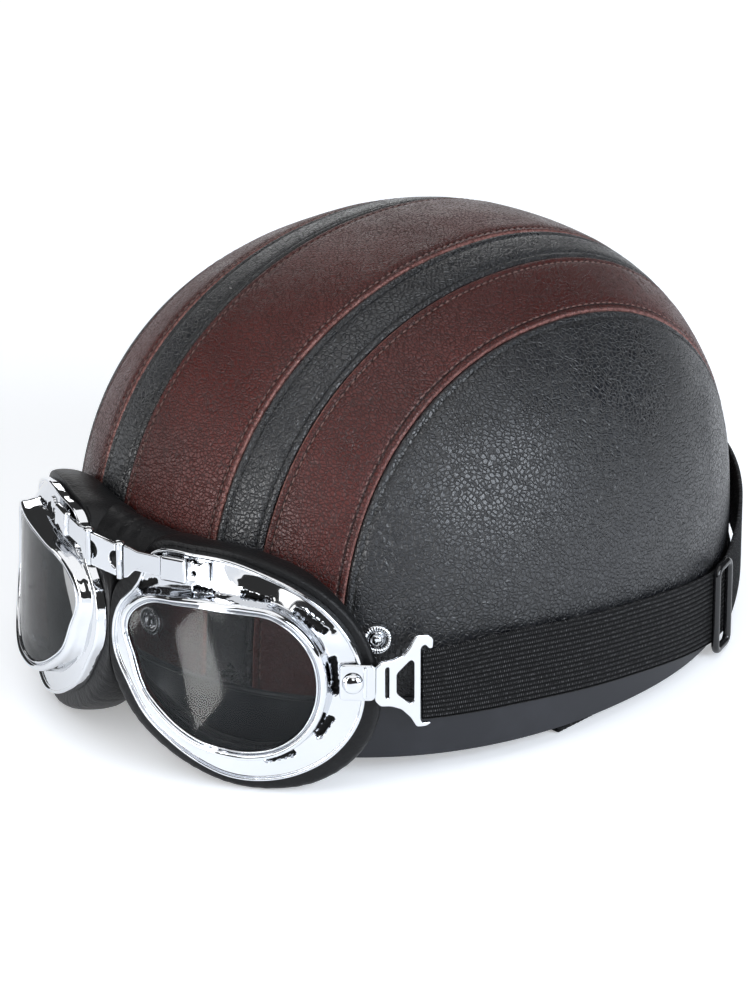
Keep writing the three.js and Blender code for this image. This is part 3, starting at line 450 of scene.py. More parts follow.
# Materials
class Shader:
    """A material's node tree, with short calls that add and join nodes."""

    def __init__(self, name):
        self.material = bpy.data.materials.new(name)
        self.material.use_nodes = True
        self.tree = self.material.node_tree
        self.surface = self.tree.nodes["Principled BSDF"]

    def node(self, kind, settings=None, **inputs):
        """Adds a node: settings are its attributes, inputs are named sockets or i0, i1 by number."""
        made = self.tree.nodes.new(kind)
        for key, value in (settings or {}).items():
            setattr(made, key, value)
        for key, value in inputs.items():
            numbered = key[0] == "i" and key[1:].isdigit()
            self.feed(made.inputs[int(key[1:]) if numbered else key.replace("_", " ")], value)
        return made

    def feed(self, socket, value):
        """Links a socket to a socket, or sets a plain value on it."""
        if isinstance(value, bpy.types.NodeSocket):
            self.tree.links.new(value, socket)
        else:
            socket.default_value = value

    def coords(self, kind="Object"):
        """Texture coordinates of one kind."""
        return self.node("ShaderNodeTexCoord").outputs[kind]

    def noise(self, vector, scale, detail=3.0, roughness=0.5):
        """Noise value, from 0 to 1."""
        made = self.node("ShaderNodeTexNoise", Vector=vector, Scale=scale, Detail=detail, Roughness=roughness)
        return made.outputs["Fac"]

    def cells(self, vector, scale, feature="DISTANCE_TO_EDGE"):
        """Distance in a pattern of uneven cells, to their edges or middles."""
        made = self.node("ShaderNodeTexVoronoi", {"feature": feature}, Vector=vector, Scale=scale)
        return made.outputs["Distance"]

    def ranged(self, value, low, high, to_low=0.0, to_high=1.0):
        """A value eased from one range into another and held at its ends."""
        made = self.node("ShaderNodeMapRange", {"interpolation_type": "SMOOTHSTEP"}, Value=value)
        for key, number in (("From Min", low), ("From Max", high), ("To Min", to_low), ("To Max", to_high)):
            made.inputs[key].default_value = number
        return made.outputs[0]

    def math(self, operation, first, second=0.0):
        """One arithmetic step on two values."""
        return self.node("ShaderNodeMath", {"operation": operation}, i0=first, i1=second).outputs[0]

    def warped(self, vector, scale, amount):
        """Coordinates pushed about by a coloured noise."""
        noise = self.node("ShaderNodeTexNoise", Vector=vector, Scale=scale, Detail=2.0).outputs["Color"]
        push = self.node("ShaderNodeVectorMath", {"operation": "MULTIPLY_ADD"}, i0=noise, i1=(amount,) * 3,
                         i2=vector)
        return push.outputs[0]

    def mix(self, factor, first, second):
        """Blend of two colours by a factor from 0 to 1."""
        made = self.node("ShaderNodeMix", {"data_type": "RGBA"})
        for socket, value in ((made.inputs[0], factor), (made.inputs[6], first), (made.inputs[7], second)):
            self.feed(socket, value)
        return made.outputs[2]

    def bump(self, height, distance, strength=1.0, normal=None):
        """Normal tilted by the slope of a height."""
        made = self.node("ShaderNodeBump", Height=height, Distance=distance, Strength=strength)
        if normal is not None:
            self.feed(made.inputs["Normal"], normal)
        return made.outputs["Normal"]

    def set(self, **inputs):
        """Fills sockets of the surface shader by name."""
        for key, value in inputs.items():
            self.feed(self.surface.inputs[key.replace("_", " ")], value)
        return self.material


def rgba(colour, factor=1.0):
    """A colour with full opacity, multiplied by a factor."""
    return (*[c * factor for c in colour], 1.0)


def leather_material(name, colour, edge_wear_and_shading, settings, gloss, shine_level, stretch):
    """Pebbled leather: warped cells with painted shade in the creases between them, finer cells
    inside, slow changes of colour and shine. The piece's UV holds the distance to its seam, by
    which shade is painted into the stitched channel and the folded edge takes its edge colour: wear
    with a painted highlight on the brown stripes, a darker tone on the black panels."""
    s = Shader(name)
    shaped = s.node("ShaderNodeMapping", Vector=s.coords(), Scale=stretch).outputs[0]
    place = s.warped(s.warped(shaped, 110.0, 0.003), 420.0, 0.0009)
    scale = 1 / settings.grain
    pebbles = s.ranged(s.cells(place, scale), 0.0, 0.17)
    small = s.ranged(s.cells(place, scale * 2.3), 0.0, 0.25)
    fine = s.noise(place, scale * 4.0, 3.0, 0.6)
    height = s.math("ADD", s.math("MULTIPLY", pebbles, 0.72), s.math("MULTIPLY", small, 0.09))
    height = s.math("ADD", height, s.math("MULTIPLY", fine, 0.07))
    patches = s.ranged(s.noise(s.coords(), 28.0, 4.0), 0.3, 0.7)
    tone = s.mix(patches, rgba(colour, 0.84), rgba(colour, 1.18))
    # Painted shade: the creases between pebbles are darkened toward a fifth of the colour, and they get
    # rougher
    crease = s.ranged(pebbles, 0.0, 0.8, 0.75, 0.0)
    tone = s.mix(crease, tone, rgba(colour, 0.22))
    shine = s.ranged(s.noise(s.coords(), 55.0, 3.0), 0.3, 0.7, gloss - 0.05, gloss + 0.06)
    rough = s.math("ADD", shine, s.math("MULTIPLY", crease, 0.35))
    from_seam = s.node("ShaderNodeSeparateXYZ", Vector=s.coords("UV")).outputs[0]
    off_channel = s.math("ABSOLUTE", s.math("SUBTRACT", from_seam, settings.stitch_inset))
    # Painted shade: a thin dark line along the stitch row, where the channel is sunk and the thread holes lie
    channel = s.ranged(off_channel, 0.0002, 0.0007, 0.8, 0.0)
    tone = s.mix(channel, tone, rgba(colour, 0.12))
    # Edge colour on the rolled edges, broken up by noise: wear and a painted highlight on the brown stripes,
    # darker on the black panels
    edge_breakup = s.ranged(s.noise(s.coords(), 700.0, 3.0), 0.32, 0.62, 0.25, 1.0)
    edge = s.math("MULTIPLY", s.ranged(from_seam, 0.0002, 0.0012, 1.0, 0.0), edge_breakup)
    tone = s.mix(edge, tone, rgba(edge_wear_and_shading))
    slow = s.bump(s.noise(s.coords(), 70.0, 2.0), 0.0008, 0.5)
    return s.set(Base_Color=tone, Roughness=rough, Normal=s.bump(height, 0.00038, 1.0, slow),
                 Specular_IOR_Level=shine_level)


def rubber_material():
    """Smooth matte rubber with a fine even grain and faint scuffs."""
    s = Shader("rim rubber")
    grain = s.noise(s.coords(), 2600.0, 2.0)
    scuff = s.ranged(s.noise(s.coords(), 60.0, 5.0), 0.45, 0.7)
    tone = s.mix(scuff, rgba((0.007, 0.008, 0.012)), rgba((0.013, 0.014, 0.019)))
    rough = s.math("ADD", s.math("MULTIPLY", scuff, 0.1), 0.40)
    return s.set(Base_Color=tone, Roughness=rough, Normal=s.bump(grain, 0.00004, 0.6), Specular_IOR_Level=0.4)


def chrome_material(settings):
    """Mirror chrome over moulded plastic: slow waves and tiny dents bend what it reflects."""
    s = Shader("chrome")
    waves = s.noise(s.coords(), 90.0, 2.0)
    dents = s.ranged(s.cells(s.warped(s.coords(), 120.0, 0.004), 260.0, "F1"), 0.0, 0.35)
    smudge = s.ranged(s.noise(s.coords(), 45.0, 5.0, 0.6), 0.45, 0.75, 0.035, 0.10)
    normal = s.bump(waves, settings.wave, 1.0)
    normal = s.bump(dents, settings.wave * 0.12, 1.0, normal)
    tone = s.mix(s.noise(s.coords(), 30.0, 3.0), rgba(settings.chrome, 0.93), rgba(settings.chrome))
    return s.set(Base_Color=tone, Metallic=1.0, Roughness=smudge, Normal=normal)


def slot_shade_material():
    """Near-black floor deep in the vent slots: painted shade that stands in for the dark open slots."""
    s = Shader("vent foam")
    pores = s.cells(s.coords(), 2200.0, "F1")
    tone = s.mix(pores, rgba((0.001, 0.001, 0.001)), rgba((0.006, 0.006, 0.006)))
    return s.set(Base_Color=tone, Roughness=0.95, Normal=s.bump(pores, 0.0002))


def lens_material():
    """A clear, faintly smoked lens that mirrors more at a glancing angle."""
    s = Shader("clear lens")
    facing = s.node("ShaderNodeLayerWeight", Blend=0.5).outputs["Facing"]
    film = s.ranged(s.noise(s.coords(), 35.0, 4.0), 0.4, 0.8, 0.20, 0.28)
    alpha = s.math("ADD", s.math("MULTIPLY", s.math("POWER", facing, 3.0), 0.7), film)
    tone = s.mix(film, rgba((0.008, 0.010, 0.011)), rgba((0.012, 0.014, 0.015)))
    rough = s.ranged(s.noise(s.coords(), 60.0, 3.0), 0.3, 0.7, 0.06, 0.12)
    return s.set(Base_Color=tone, Roughness=rough, Specular_IOR_Level=0.4, Alpha=alpha)


def pad_material(settings):
    """Soft black leather over foam: fine creases and a dull sheen."""
    s = Shader("pad leather")
    place = s.warped(s.coords(), 220.0, 0.0016)
    creases = s.ranged(s.cells(place, 420.0), 0.0, 0.22)
    fine = s.noise(place, 1500.0, 3.0, 0.6)
    height = s.math("ADD", s.math("MULTIPLY", creases, 0.55), s.math("MULTIPLY", fine, 0.4))
    tone = s.mix(s.noise(s.coords(), 40.0, 3.0), rgba(settings.pad, 0.7), rgba(settings.pad, 1.35))
    return s.set(Base_Color=tone, Roughness=0.46, Normal=s.bump(height, 0.00012, 0.9),
                 Specular_IOR_Level=0.25)


def webbing_material(settings, name, pitch, first, step, glint_amount):
    """Woven band on its own UV: cross threads that change places from rib to rib, painted light that
    makes the raised threads lighter and the low ones darker, painted shade in the gaps between the
    ribs, and painted glints where threads catch light."""
    s = Shader(name)
    uv = s.coords("UV")
    split = s.node("ShaderNodeSeparateXYZ", Vector=uv)
    along, across = split.outputs[0], split.outputs[1]
    phase = s.math("DIVIDE", s.math("SUBTRACT", across, first), pitch)
    rib = s.math("ABSOLUTE", s.math("SINE", s.math("MULTIPLY", phase, math.pi)))
    gap = s.ranged(rib, 0.15, 0.6, 1.0, 0.0)
    turn = s.math("MULTIPLY", s.math("FLOOR", phase), 0.5)
    threads = s.math("SINE", s.math("MULTIPLY", s.math("ADD", s.math("DIVIDE", along, step), turn), TAU))
    weave = s.math("MULTIPLY", s.math("ADD", threads, 1.0), 0.5)
    lit = s.math("MULTIPLY", weave, rib)
    height = s.math("ADD", lit, s.math("MULTIPLY", s.noise(uv, 3000.0, 2.0), 0.4))
    glint = s.math("MULTIPLY", s.ranged(s.noise(uv, 900.0, 2.0), 0.40, 0.68), s.ranged(lit, 0.55, 0.95))
    # Painted light and shade: raised threads lighter, low threads darker
    tone = s.mix(lit, rgba(settings.webbing, 0.5), rgba(settings.webbing, 1.7))
    # Painted shade in the gaps between the ribs
    tone = s.mix(gap, tone, rgba(settings.webbing, 0.15))
    # Painted glints: pale flecks on the raised threads
    tone = s.mix(s.math("MULTIPLY", glint, glint_amount), tone, rgba((0.15, 0.15, 0.155)))
    return s.set(Base_Color=tone, Roughness=0.75, Normal=s.bump(height, 0.00030, 1.0), Specular_IOR_Level=0.2)


def thread_material(name, colour):
    """Twisted sewing thread."""
    s = Shader(name)
    twist = s.noise(s.coords(), 2400.0, 2.0)
    tone = s.mix(twist, rgba(colour, 0.6), rgba(colour, 1.4))
    return s.set(Base_Color=tone, Roughness=0.42, Normal=s.bump(twist, 0.0001))


def plastic_material(name, colour, rough):
    """Moulded plastic with a faint grain and slow changes of shine."""
    s = Shader(name)
    grain = s.noise(s.coords(), 1400.0, 3.0)
    shine = s.ranged(s.noise(s.coords(), 70.0, 4.0), 0.3, 0.7, rough - 0.05, rough + 0.08)
    tone = s.mix(grain, rgba(colour, 0.85), rgba(colour, 1.15))
    return s.set(Base_Color=tone, Roughness=shine, Normal=s.bump(grain, 0.00003, 0.6))


def band_first(sizes):
    """Where a band's first rib starts, from its middle."""
    return -0.5 * (sizes["width"] - sizes["thickness"])


def band_pitch(sizes, ribs):
    """Distance from one rib of a band to the next."""
    return (sizes["width"] - sizes["thickness"]) / ribs


MATERIALS = {}


def make_materials(scene):
    """Every finish, made once."""
    leather, goggles, straps = scene.helmet_leather, scene.helmet_goggles, scene.helmet_straps
    # Darker edge colour for the black panels' rolled edges
    black_edge = (0.004, 0.004, 0.005)
    MATERIALS.update(
        brown=leather_material("brown leather", leather.brown, leather.edge_wear_and_shading, leather,
                               gloss=0.31, shine_level=0.40, stretch=(1.0, 1.45, 1.25)),
        black=leather_material("black leather", leather.black, black_edge, leather,
                               gloss=0.30, shine_level=0.66, stretch=(1.0, 1.0, 1.0)),
        rubber=rubber_material(),
        chrome=chrome_material(goggles),
        slot=slot_shade_material(),
        lens=lens_material(),
        pad=pad_material(goggles),
        elastic=webbing_material(straps, "elastic strap", band_pitch(STRAP, straps.ribs) * MM,
                                 band_first(STRAP) * MM, 0.00085, 0.85),
        chin=webbing_material(straps, "chin webbing", band_pitch(CHIN, CHIN_RIBS) * MM, band_first(CHIN) * MM,
                              0.0011, 0.3),
        thread_black=thread_material("black thread", (0.016, 0.016, 0.018)),
        # Lighter than the brown leather: the thread's own colour, partly a painted highlight of its glints
        thread_brown=thread_material("brown thread", (0.135, 0.070, 0.060)),
        gloss=plastic_material("gloss black plastic", (0.008, 0.008, 0.009), 0.16),
        satin=plastic_material("satin black plastic", (0.010, 0.010, 0.011), 0.34),
        foam=plastic_material("shell foam", (0.016, 0.016, 0.017), 0.72),
    )


# Leather cover, in mm: places beside a seam where the relief changes fast, the open line along each
# seam, points along a panel, and the distance that stands for no seam near
NEAR_SEAM = np.array([0, 0.12, 0.3, 0.5, 0.75, 1.05, 1.4, 1.75, 2.1, 2.5, 2.8, 3.1, 3.4, 3.7, 4.2, 5.0, 6.0])
SEAM_GAP = 0.12
PANEL_STATIONS = 400
NO_SEAM = 50.0


def across_shares(width):
    """Places across a panel as shares of its width: close together at the seams, wider between."""
    first = NEAR_SEAM[-1]
    count = max(3, int((width - 2 * first) / 2.2))
    middle = np.linspace(first, width - first, count + 1)[1:-1]
    return np.concatenate([NEAR_SEAM, middle, (width - NEAR_SEAM)[::-1]]) / width


def leather_relief(distance, along, settings):
    """Height of leather by distance from its seam: a rolled edge, a soft ridge that puckers from
    stitch to stitch, a channel that the thread pulls down, and a slow swell behind the channel."""
    roll = settings.edge_roll / MM
    inset = settings.stitch_inset / MM
    d = np.clip(distance / roll, 0, 1)
    edge = -roll * (1 - np.sqrt(np.maximum(0, 1 - (1 - d) ** 2)))
    pucker = np.cos(along * TAU / (settings.stitch_pitch / MM)) + 0.6 * np.sin(along * 0.53)
    ridge = (0.24 + 0.07 * pucker) * np.exp(-((distance - roll - 0.35) / 0.8) ** 2)
    channel = -(0.46 + 0.08 * pucker) * np.exp(-((distance - inset) / 0.46) ** 2)
    swell = 0.3 * smooth((distance - inset) / 3) * np.exp(-np.maximum(0, distance - inset - 3) / 9)
    return edge + ridge + channel + swell - 0.15


def panel_object(name, rows, settings, seam_edges, material):
    """A leather panel: crown points sunk or raised along their normals by the relief of the nearest
    seam, with a plain underside."""
    step = np.linalg.norm(np.diff(rows, axis=0), axis=-1)
    from_first = np.vstack([np.zeros(rows.shape[1]), np.cumsum(step, 0)])
    from_last = from_first[-1] - from_first
    relief = np.zeros(rows.shape[:2])
    nearest = np.full(rows.shape[:2], NO_SEAM)
    run = np.linalg.norm(np.diff(rows, axis=1), axis=-1).mean(0)
    along = np.concatenate([[0], np.cumsum(run)])
    for used, distance in zip(seam_edges, (from_first, from_last)):
        if used:
            relief += leather_relief(distance, along, settings) * np.exp(-np.maximum(0, distance - 12) / 6)
            nearest = np.minimum(nearest, distance)
    normal = crown_normal(rows)
    top = rows + normal * relief[..., None]
    under = rows[::-4] - normal[::-4] * LEATHER
    if not np.allclose(under[-1], rows[0] - normal[0] * LEATHER):
        under = np.concatenate([under, rows[:1] - normal[:1] * LEATHER])
    grid = np.concatenate([top, under]).transpose(1, 0, 2)
    points, faces = swept(grid)
    from_seam = np.concatenate([nearest, np.full(under.shape[:2], NO_SEAM)]).T
    uv = np.stack([from_seam, np.broadcast_to(along[:, None], from_seam.shape)], -1).reshape(-1, 2)
    uv = np.vstack([uv, [(NO_SEAM, 0), (NO_SEAM, along[-1])]]) * MM
    obj = mesh_object(name, to_part(points), faces, uv=uv)
    bpy.data.collections["leather_lit"].objects.link(obj)
    return finish_piece(obj, material, material_slot(name), name)


def material_slot(node):
    """The record's slot of a node."""
    for row in frame["record"]["subparts"]:
        if row["node"] == node:
            return row["material_slot"]
    raise RuntimeError(f"no subpart names {node}")


def stripe_rows(first, last, count_along):
    """Crown points between two seam lines."""
    width = abs(last[0] - first[0])
    share = across_shares(width)[:, None]
    x = first[0] + (last[0] - first[0]) * share
    flare = first[1] + (last[1] - first[1]) * share
    angle = along_angles(first[0], count_along)[None]
    return seam_points(x, flare, angle)


def along_angles(x, count):
    """Angles over the crown at even distances along a seam line."""
    rough = np.linspace(0, math.pi, 721)
    line = seam_points(np.full(721, x), np.zeros(721), rough)
    run = np.concatenate([[0], np.cumsum(np.linalg.norm(np.diff(line, axis=0), axis=1))])
    return np.interp(np.linspace(0, run[-1], count), run, rough)


def side_rows(count_along):
    """Crown points from the side seam to the widest line, whose ends close up on the rim."""
    x0, flare0 = SEAMS["side"]
    start = math.asin((x0 + SEAM_GAP) / CROWN["half_width"])
    slope = CROWN["half_width"] * math.cos(start) * 1.9
    beside = start + NEAR_SEAM / slope
    turn = np.concatenate([beside, np.linspace(beside[-1], math.pi / 2, 64)[1:]])
    share = ((turn - start) / (math.pi / 2 - start))[:, None]
    x = CROWN["half_width"] * 0.99995 * np.sin(turn)[:, None]
    return seam_points(x, flare0 * (1 - share), along_angles(x0, count_along)[None])


def stitch_row(x, flare, sign, inset, pitch, offset):
    """Short thread capsules that lie in the channel beside a seam: an ellipse along each stitch."""
    lane = x + sign * inset
    angles = along_angles(lane, 1400)
    line = seam_points(np.full(1400, lane), np.full(1400, flare), angles)
    run = np.concatenate([[0], np.cumsum(np.linalg.norm(np.diff(line, axis=0), axis=1))])
    middles = np.arange(4.0 + offset * pitch, run[-1] - 3.0, pitch)
    ring_at = np.linspace(-1, 1, 5)
    half = pitch * 0.36
    places = middles[:, None] + ring_at[None] * half
    centre = np.stack([np.interp(places, run, line[:, k]) for k in range(3)], -1)
    normal = crown_normal(centre)
    along = unit(np.gradient(centre, axis=1))
    aside = unit(np.cross(normal, along))
    radius = 0.34 * np.sqrt(np.maximum(0.06, 1 - ring_at ** 2))[None, :, None, None]
    lift = (-0.52 + 0.22 * (1 - ring_at ** 2))[None, :, None]
    turn = np.arange(6) / 6 * TAU
    across, outward = np.cos(turn)[None, None, :, None], np.sin(turn)[None, None, :, None]
    ring = aside[:, :, None] * across + normal[:, :, None] * outward
    points = (centre + normal * lift)[:, :, None] + ring * radius
    bodies = [swept(body) for body in points]
    return join(*bodies)


class HELMET_OT_cover(bpy.types.Operator):
    """Makes the seven leather panels of the crown"""
    bl_idname = "helmet.cover"
    bl_label = "Leather cover"

    def execute(self, context):
        settings = context.scene.helmet_leather
        centre, narrow, side = SEAMS["centre"], SEAMS["narrow"], SEAMS["side"]

        def stripe(first, last):
            """A stripe that keeps a small gap to both seams."""
            return stripe_rows((first[0] + SEAM_GAP, first[1]), (last[0] - SEAM_GAP, last[1]), PANEL_STATIONS)

        middle = stripe((-centre[0], centre[1]), centre)
        panel_object("centre_stripe", middle, settings, (True, True), MATERIALS["brown"])
        black, brown, wide = stripe(centre, narrow), stripe(narrow, side), side_rows(PANEL_STATIONS)
        for word, sign in (("left", 1), ("right", -1)):
            for piece, rows, edges, leather in (
                ("narrow_stripe", black, (True, True), "black"),
                ("outer_stripe", brown, (True, True), "brown"),
                ("side_panel", wide, (True, False), "black"),
            ):
                panel_object(f"{piece}_{word}", mirrored(rows, sign), settings, edges, MATERIALS[leather])
        return {"FINISHED"}


class HELMET_OT_stitching(bpy.types.Operator):
    """Sews a row of thread on each side of every seam"""
    bl_idname = "helmet.stitching"
    bl_label = "Stitching"

    def execute(self, context):
        settings = context.scene.helmet_leather
        inset, pitch = settings.stitch_inset / MM, settings.stitch_pitch / MM
        for seam, (x, flare) in SEAMS.items():
            inner_thread = "thread_black" if seam == "narrow" else "thread_brown"
            outer_thread = "thread_brown" if seam == "narrow" else "thread_black"
            for row, direction, thread in (("inner", -1, inner_thread), ("outer", 1, outer_thread)):
                points, faces = stitch_row(x, flare, direction, inset, pitch, 0.5 * (direction > 0))
                for word, sign in (("left", 1), ("right", -1)):
                    name = f"stitches_{seam}_{row}_{word}"
                    obj = mesh_object(name, to_part(mirrored(points, sign)), faces)
                    slot = "brown_leather" if thread == "thread_brown" else "black_leather"
                    finish_piece(obj, MATERIALS[thread], slot)
        return {"FINISHED"}


# Shell and rim
class HELMET_OT_shell(bpy.types.Operator):
    """Makes the hollow shell and the rubber rim band"""
    bl_idname = "helmet.shell"
    bl_label = "Shell and rim"

    def execute(self, context):
        steps = 180
        angle = (np.arange(steps) + 0.5) / steps * TAU
        bottom = RIM["lip_height"] + 0.4

        def bowl(offset, height):
            """One face of the bowl: the wall's plan, drawn in by the crown's power of the rise up to a
            height, with an upright foot below it."""
            rise = np.sin(np.linspace(0, math.pi / 2, 30))[:, None]
            narrow = np.maximum(0, 1 - rise ** CROWN["rise"]) ** (1 / CROWN["narrow"])
            z = RIM["height"] + (height - RIM["height"]) * rise
            wall = wall_points(angle[None], offset, z)
            lean = CROWN["centre_y"] + CROWN["lean"] * rise
            wall[..., 0] *= narrow
            wall[..., 1] = (wall[..., 1] - CROWN["centre_y"]) * narrow + lean
            return np.concatenate([wall_points(angle[None], offset, np.full((1, 1), bottom)), wall])

        outer = bowl(-SHELL_SINK, CROWN["height"] - SHELL_SINK)
        inner = bowl(-SHELL_SINK - SHELL_WALL, CROWN["height"] - SHELL_SINK - SHELL_WALL)
        grid = np.concatenate([outer[::-1], inner])
        faces = grid_faces(len(grid), steps, False, True)
        obj = mesh_object("shell", to_part(grid.reshape(-1, 3)), faces)
        finish_piece(obj, MATERIALS["foam"], material_slot("shell"), "shell")

        height, chamfer, bead, tall = RIM["height"], RIM["chamfer"], RIM["bead"], RIM["bead_height"]
        turn = np.radians(np.linspace(-90, 90, 9))
        foot = np.radians(np.linspace(90, 0, 5))
        under_bead = height - tall
        profile = np.concatenate([
            np.stack([-chamfer * np.sin(foot), chamfer * (1 - np.cos(foot))], -1),
            [(0, height * 0.4), (0, under_bead - 0.8), (0.1, under_bead - 0.3)],
            np.stack([0.1 + bead * np.cos(turn), height - tall / 2 + tall / 2 * np.sin(turn)], -1),
            [(-1.0, height + 0.1), (-1.9, height), (-1.9, RIM["lip_height"] + 0.3), (-2.2, RIM["lip_height"]),
             (-RIM["lip"], RIM["lip_height"]), (-RIM["lip"] - 0.4, 1.0), (-RIM["lip"], 0)],
        ])
        around = (np.arange(360) + 0.5) / 360 * TAU
        grid = wall_points(around[:, None], profile[None, :, 0], profile[None, :, 1])
        points, faces = swept(grid, True)
        obj = mesh_object("rim_band", to_part(points), faces)
        finish_piece(obj, MATERIALS["rubber"], material_slot("rim_band"), "rim_band")
        return {"FINISHED"}


# Press studs
def stand(points, place, out, up=(0, 0, 1)):
    """Points of a piece turned so that its z axis points along out and its y axis as far up as it can."""
    out = unit(np.array(out, float))
    x = unit(np.cross(up, out))
    y = np.cross(out, x)
    return points @ np.stack([x, y, out]) + place


class HELMET_OT_snaps(bpy.types.Operator):
    """Makes the three press studs with knurled rings"""
    bl_idname = "helmet.snaps"
    bl_label = "Press studs"

    def execute(self, context):
        steps = 120
        arc = np.radians(np.linspace(0, 180, 9))
        ring = [(4.6 + 1.05 * math.cos(a), 1.75 + 0.85 * math.sin(a)) for a in arc]
        profile = [(0, 0), (5.8, 0), (5.8, 0.5), (5.65, 0.9), (5.65, 1.2), *ring, (3.4, 1.4), (2.7, 0.9),
                   (2.1, 0.9), (2.1, 2.4), (1.95, 2.9), (1.5, 3.2), (0.8, 3.3), (0, 3.3)]
        points, faces = turned(profile, steps)
        radius = np.hypot(points[:, 0], points[:, 1])
        turn = np.arctan2(points[:, 1], points[:, 0])
        on_ring = smooth((radius - 3.6) / 0.4) * smooth((5.62 - radius) / 0.4)
        on_ring *= smooth((points[:, 2] - 1.5) / 0.4)
        points[:, 2] -= 0.22 * on_ring * (0.5 + 0.5 * np.cos(turn * 30))
        places = (("snap_front", 41, -90), ("snap_left", 50, -45.5), ("snap_right", 50, 225.5))
        for name, height, plan in places:
            way = unit(wall_points(np.radians(plan), 0.0, 0.0) * (1, 1, 0))
            seat = crossing(lambda t: np.array([way[0] * t, way[1] * t, height]), 0.0, 220.0)
            out = crown_normal(seat)
            obj = mesh_object(name, to_part(stand(points, seat + out * 0.4, out)), faces)
            finish_piece(obj, MATERIALS["chrome"], material_slot(name), name)
        return {"FINISHED"}


# Goggles
YAW, PITCH = math.radians(EYE["yaw"]), math.radians(EYE["pitch"])
AXIS_U = np.array([math.cos(YAW), math.sin(YAW), 0.0])
AXIS_W = np.array([math.sin(YAW) * math.cos(PITCH), -math.cos(YAW) * math.cos(PITCH), math.sin(PITCH)])
AXIS_V = np.cross(AXIS_W, AXIS_U)


def from_eye(u, v, w):
    """Eye axes to the helmet frame: origin plus u, v and w along their own directions."""
    u, v, w = np.broadcast_arrays(u, v, w)
    origin = np.array([EYE["x"], EYE["y"], EYE["z"]])
    return origin + u[..., None] * AXIS_U + v[..., None] * AXIS_V + w[..., None] * AXIS_W


def flange_at(u):
    """Height of the flange over its plane: a parabola that falls off from the crown line."""
    return -EYE["flange_curve"] * (u - EYE["crown_u"]) ** 2 / 2


def lens_at(u):
    """Height of the lens: a steeper parabola on top of the lens rise."""
    return FRAME["lens_rise"] - EYE["lens_curve"] * (u - EYE["crown_u"]) ** 2 / 2


def eye_share(column, angle):
    """A share of the eye outline at an angle, by a cubic through the rows of its table."""
    rows = EYE_ROWS[:, EYE_COLUMN[column]]
    count = len(rows)
    turn = np.mod(angle / (TAU / count), count)
    i = np.floor(turn).astype(int)
    t = turn - i
    a, b, c, d = (rows[(i + k) % count] for k in (-1, 0, 1, 2))
    bend = a * (-t + 2 * t ** 2 - t ** 3) + b * (2 - 5 * t ** 2 + 3 * t ** 3)
    return (bend + c * (t + 4 * t ** 2 - 3 * t ** 3) + d * (t ** 3 - t ** 2)) / 2


def polar(angle, radius):
    """Plane coordinates of a point at an angle and a radius from the middle of the eye."""
    return EYE["centre_u"] + np.cos(angle) * radius, EYE["centre_v"] + np.sin(angle) * radius


def slot_depth(u, v):
    """How deep a point lies in the nearest vent slot, 0 outside and 1 inside: distance to the slot's
    middle line, with ends and sides made ragged by slow sines."""
    depth = np.zeros(np.shape(u))
    rim = np.zeros(np.shape(u))
    for su, sv, length, turn in SLOTS:
        c, s = math.cos(math.radians(turn)), math.sin(math.radians(turn))
        along, aside = (u - su) * c + (v - sv) * s, -(u - su) * s + (v - sv) * c
        half = length / 2 - 1.25
        ragged = 0.16 * np.sin(along * 2.3 + su) + 0.12 * np.sin(along * 5.1 + sv)
        distance = np.hypot(np.maximum(np.abs(along) - half, 0), aside + 0.1 * np.sin(along * 1.7)) + ragged
        depth = np.maximum(depth, smooth((1.45 - distance) / 0.45))
        rim = np.maximum(rim, np.exp(-((distance - 1.9) / 0.5) ** 2))
    return depth, rim


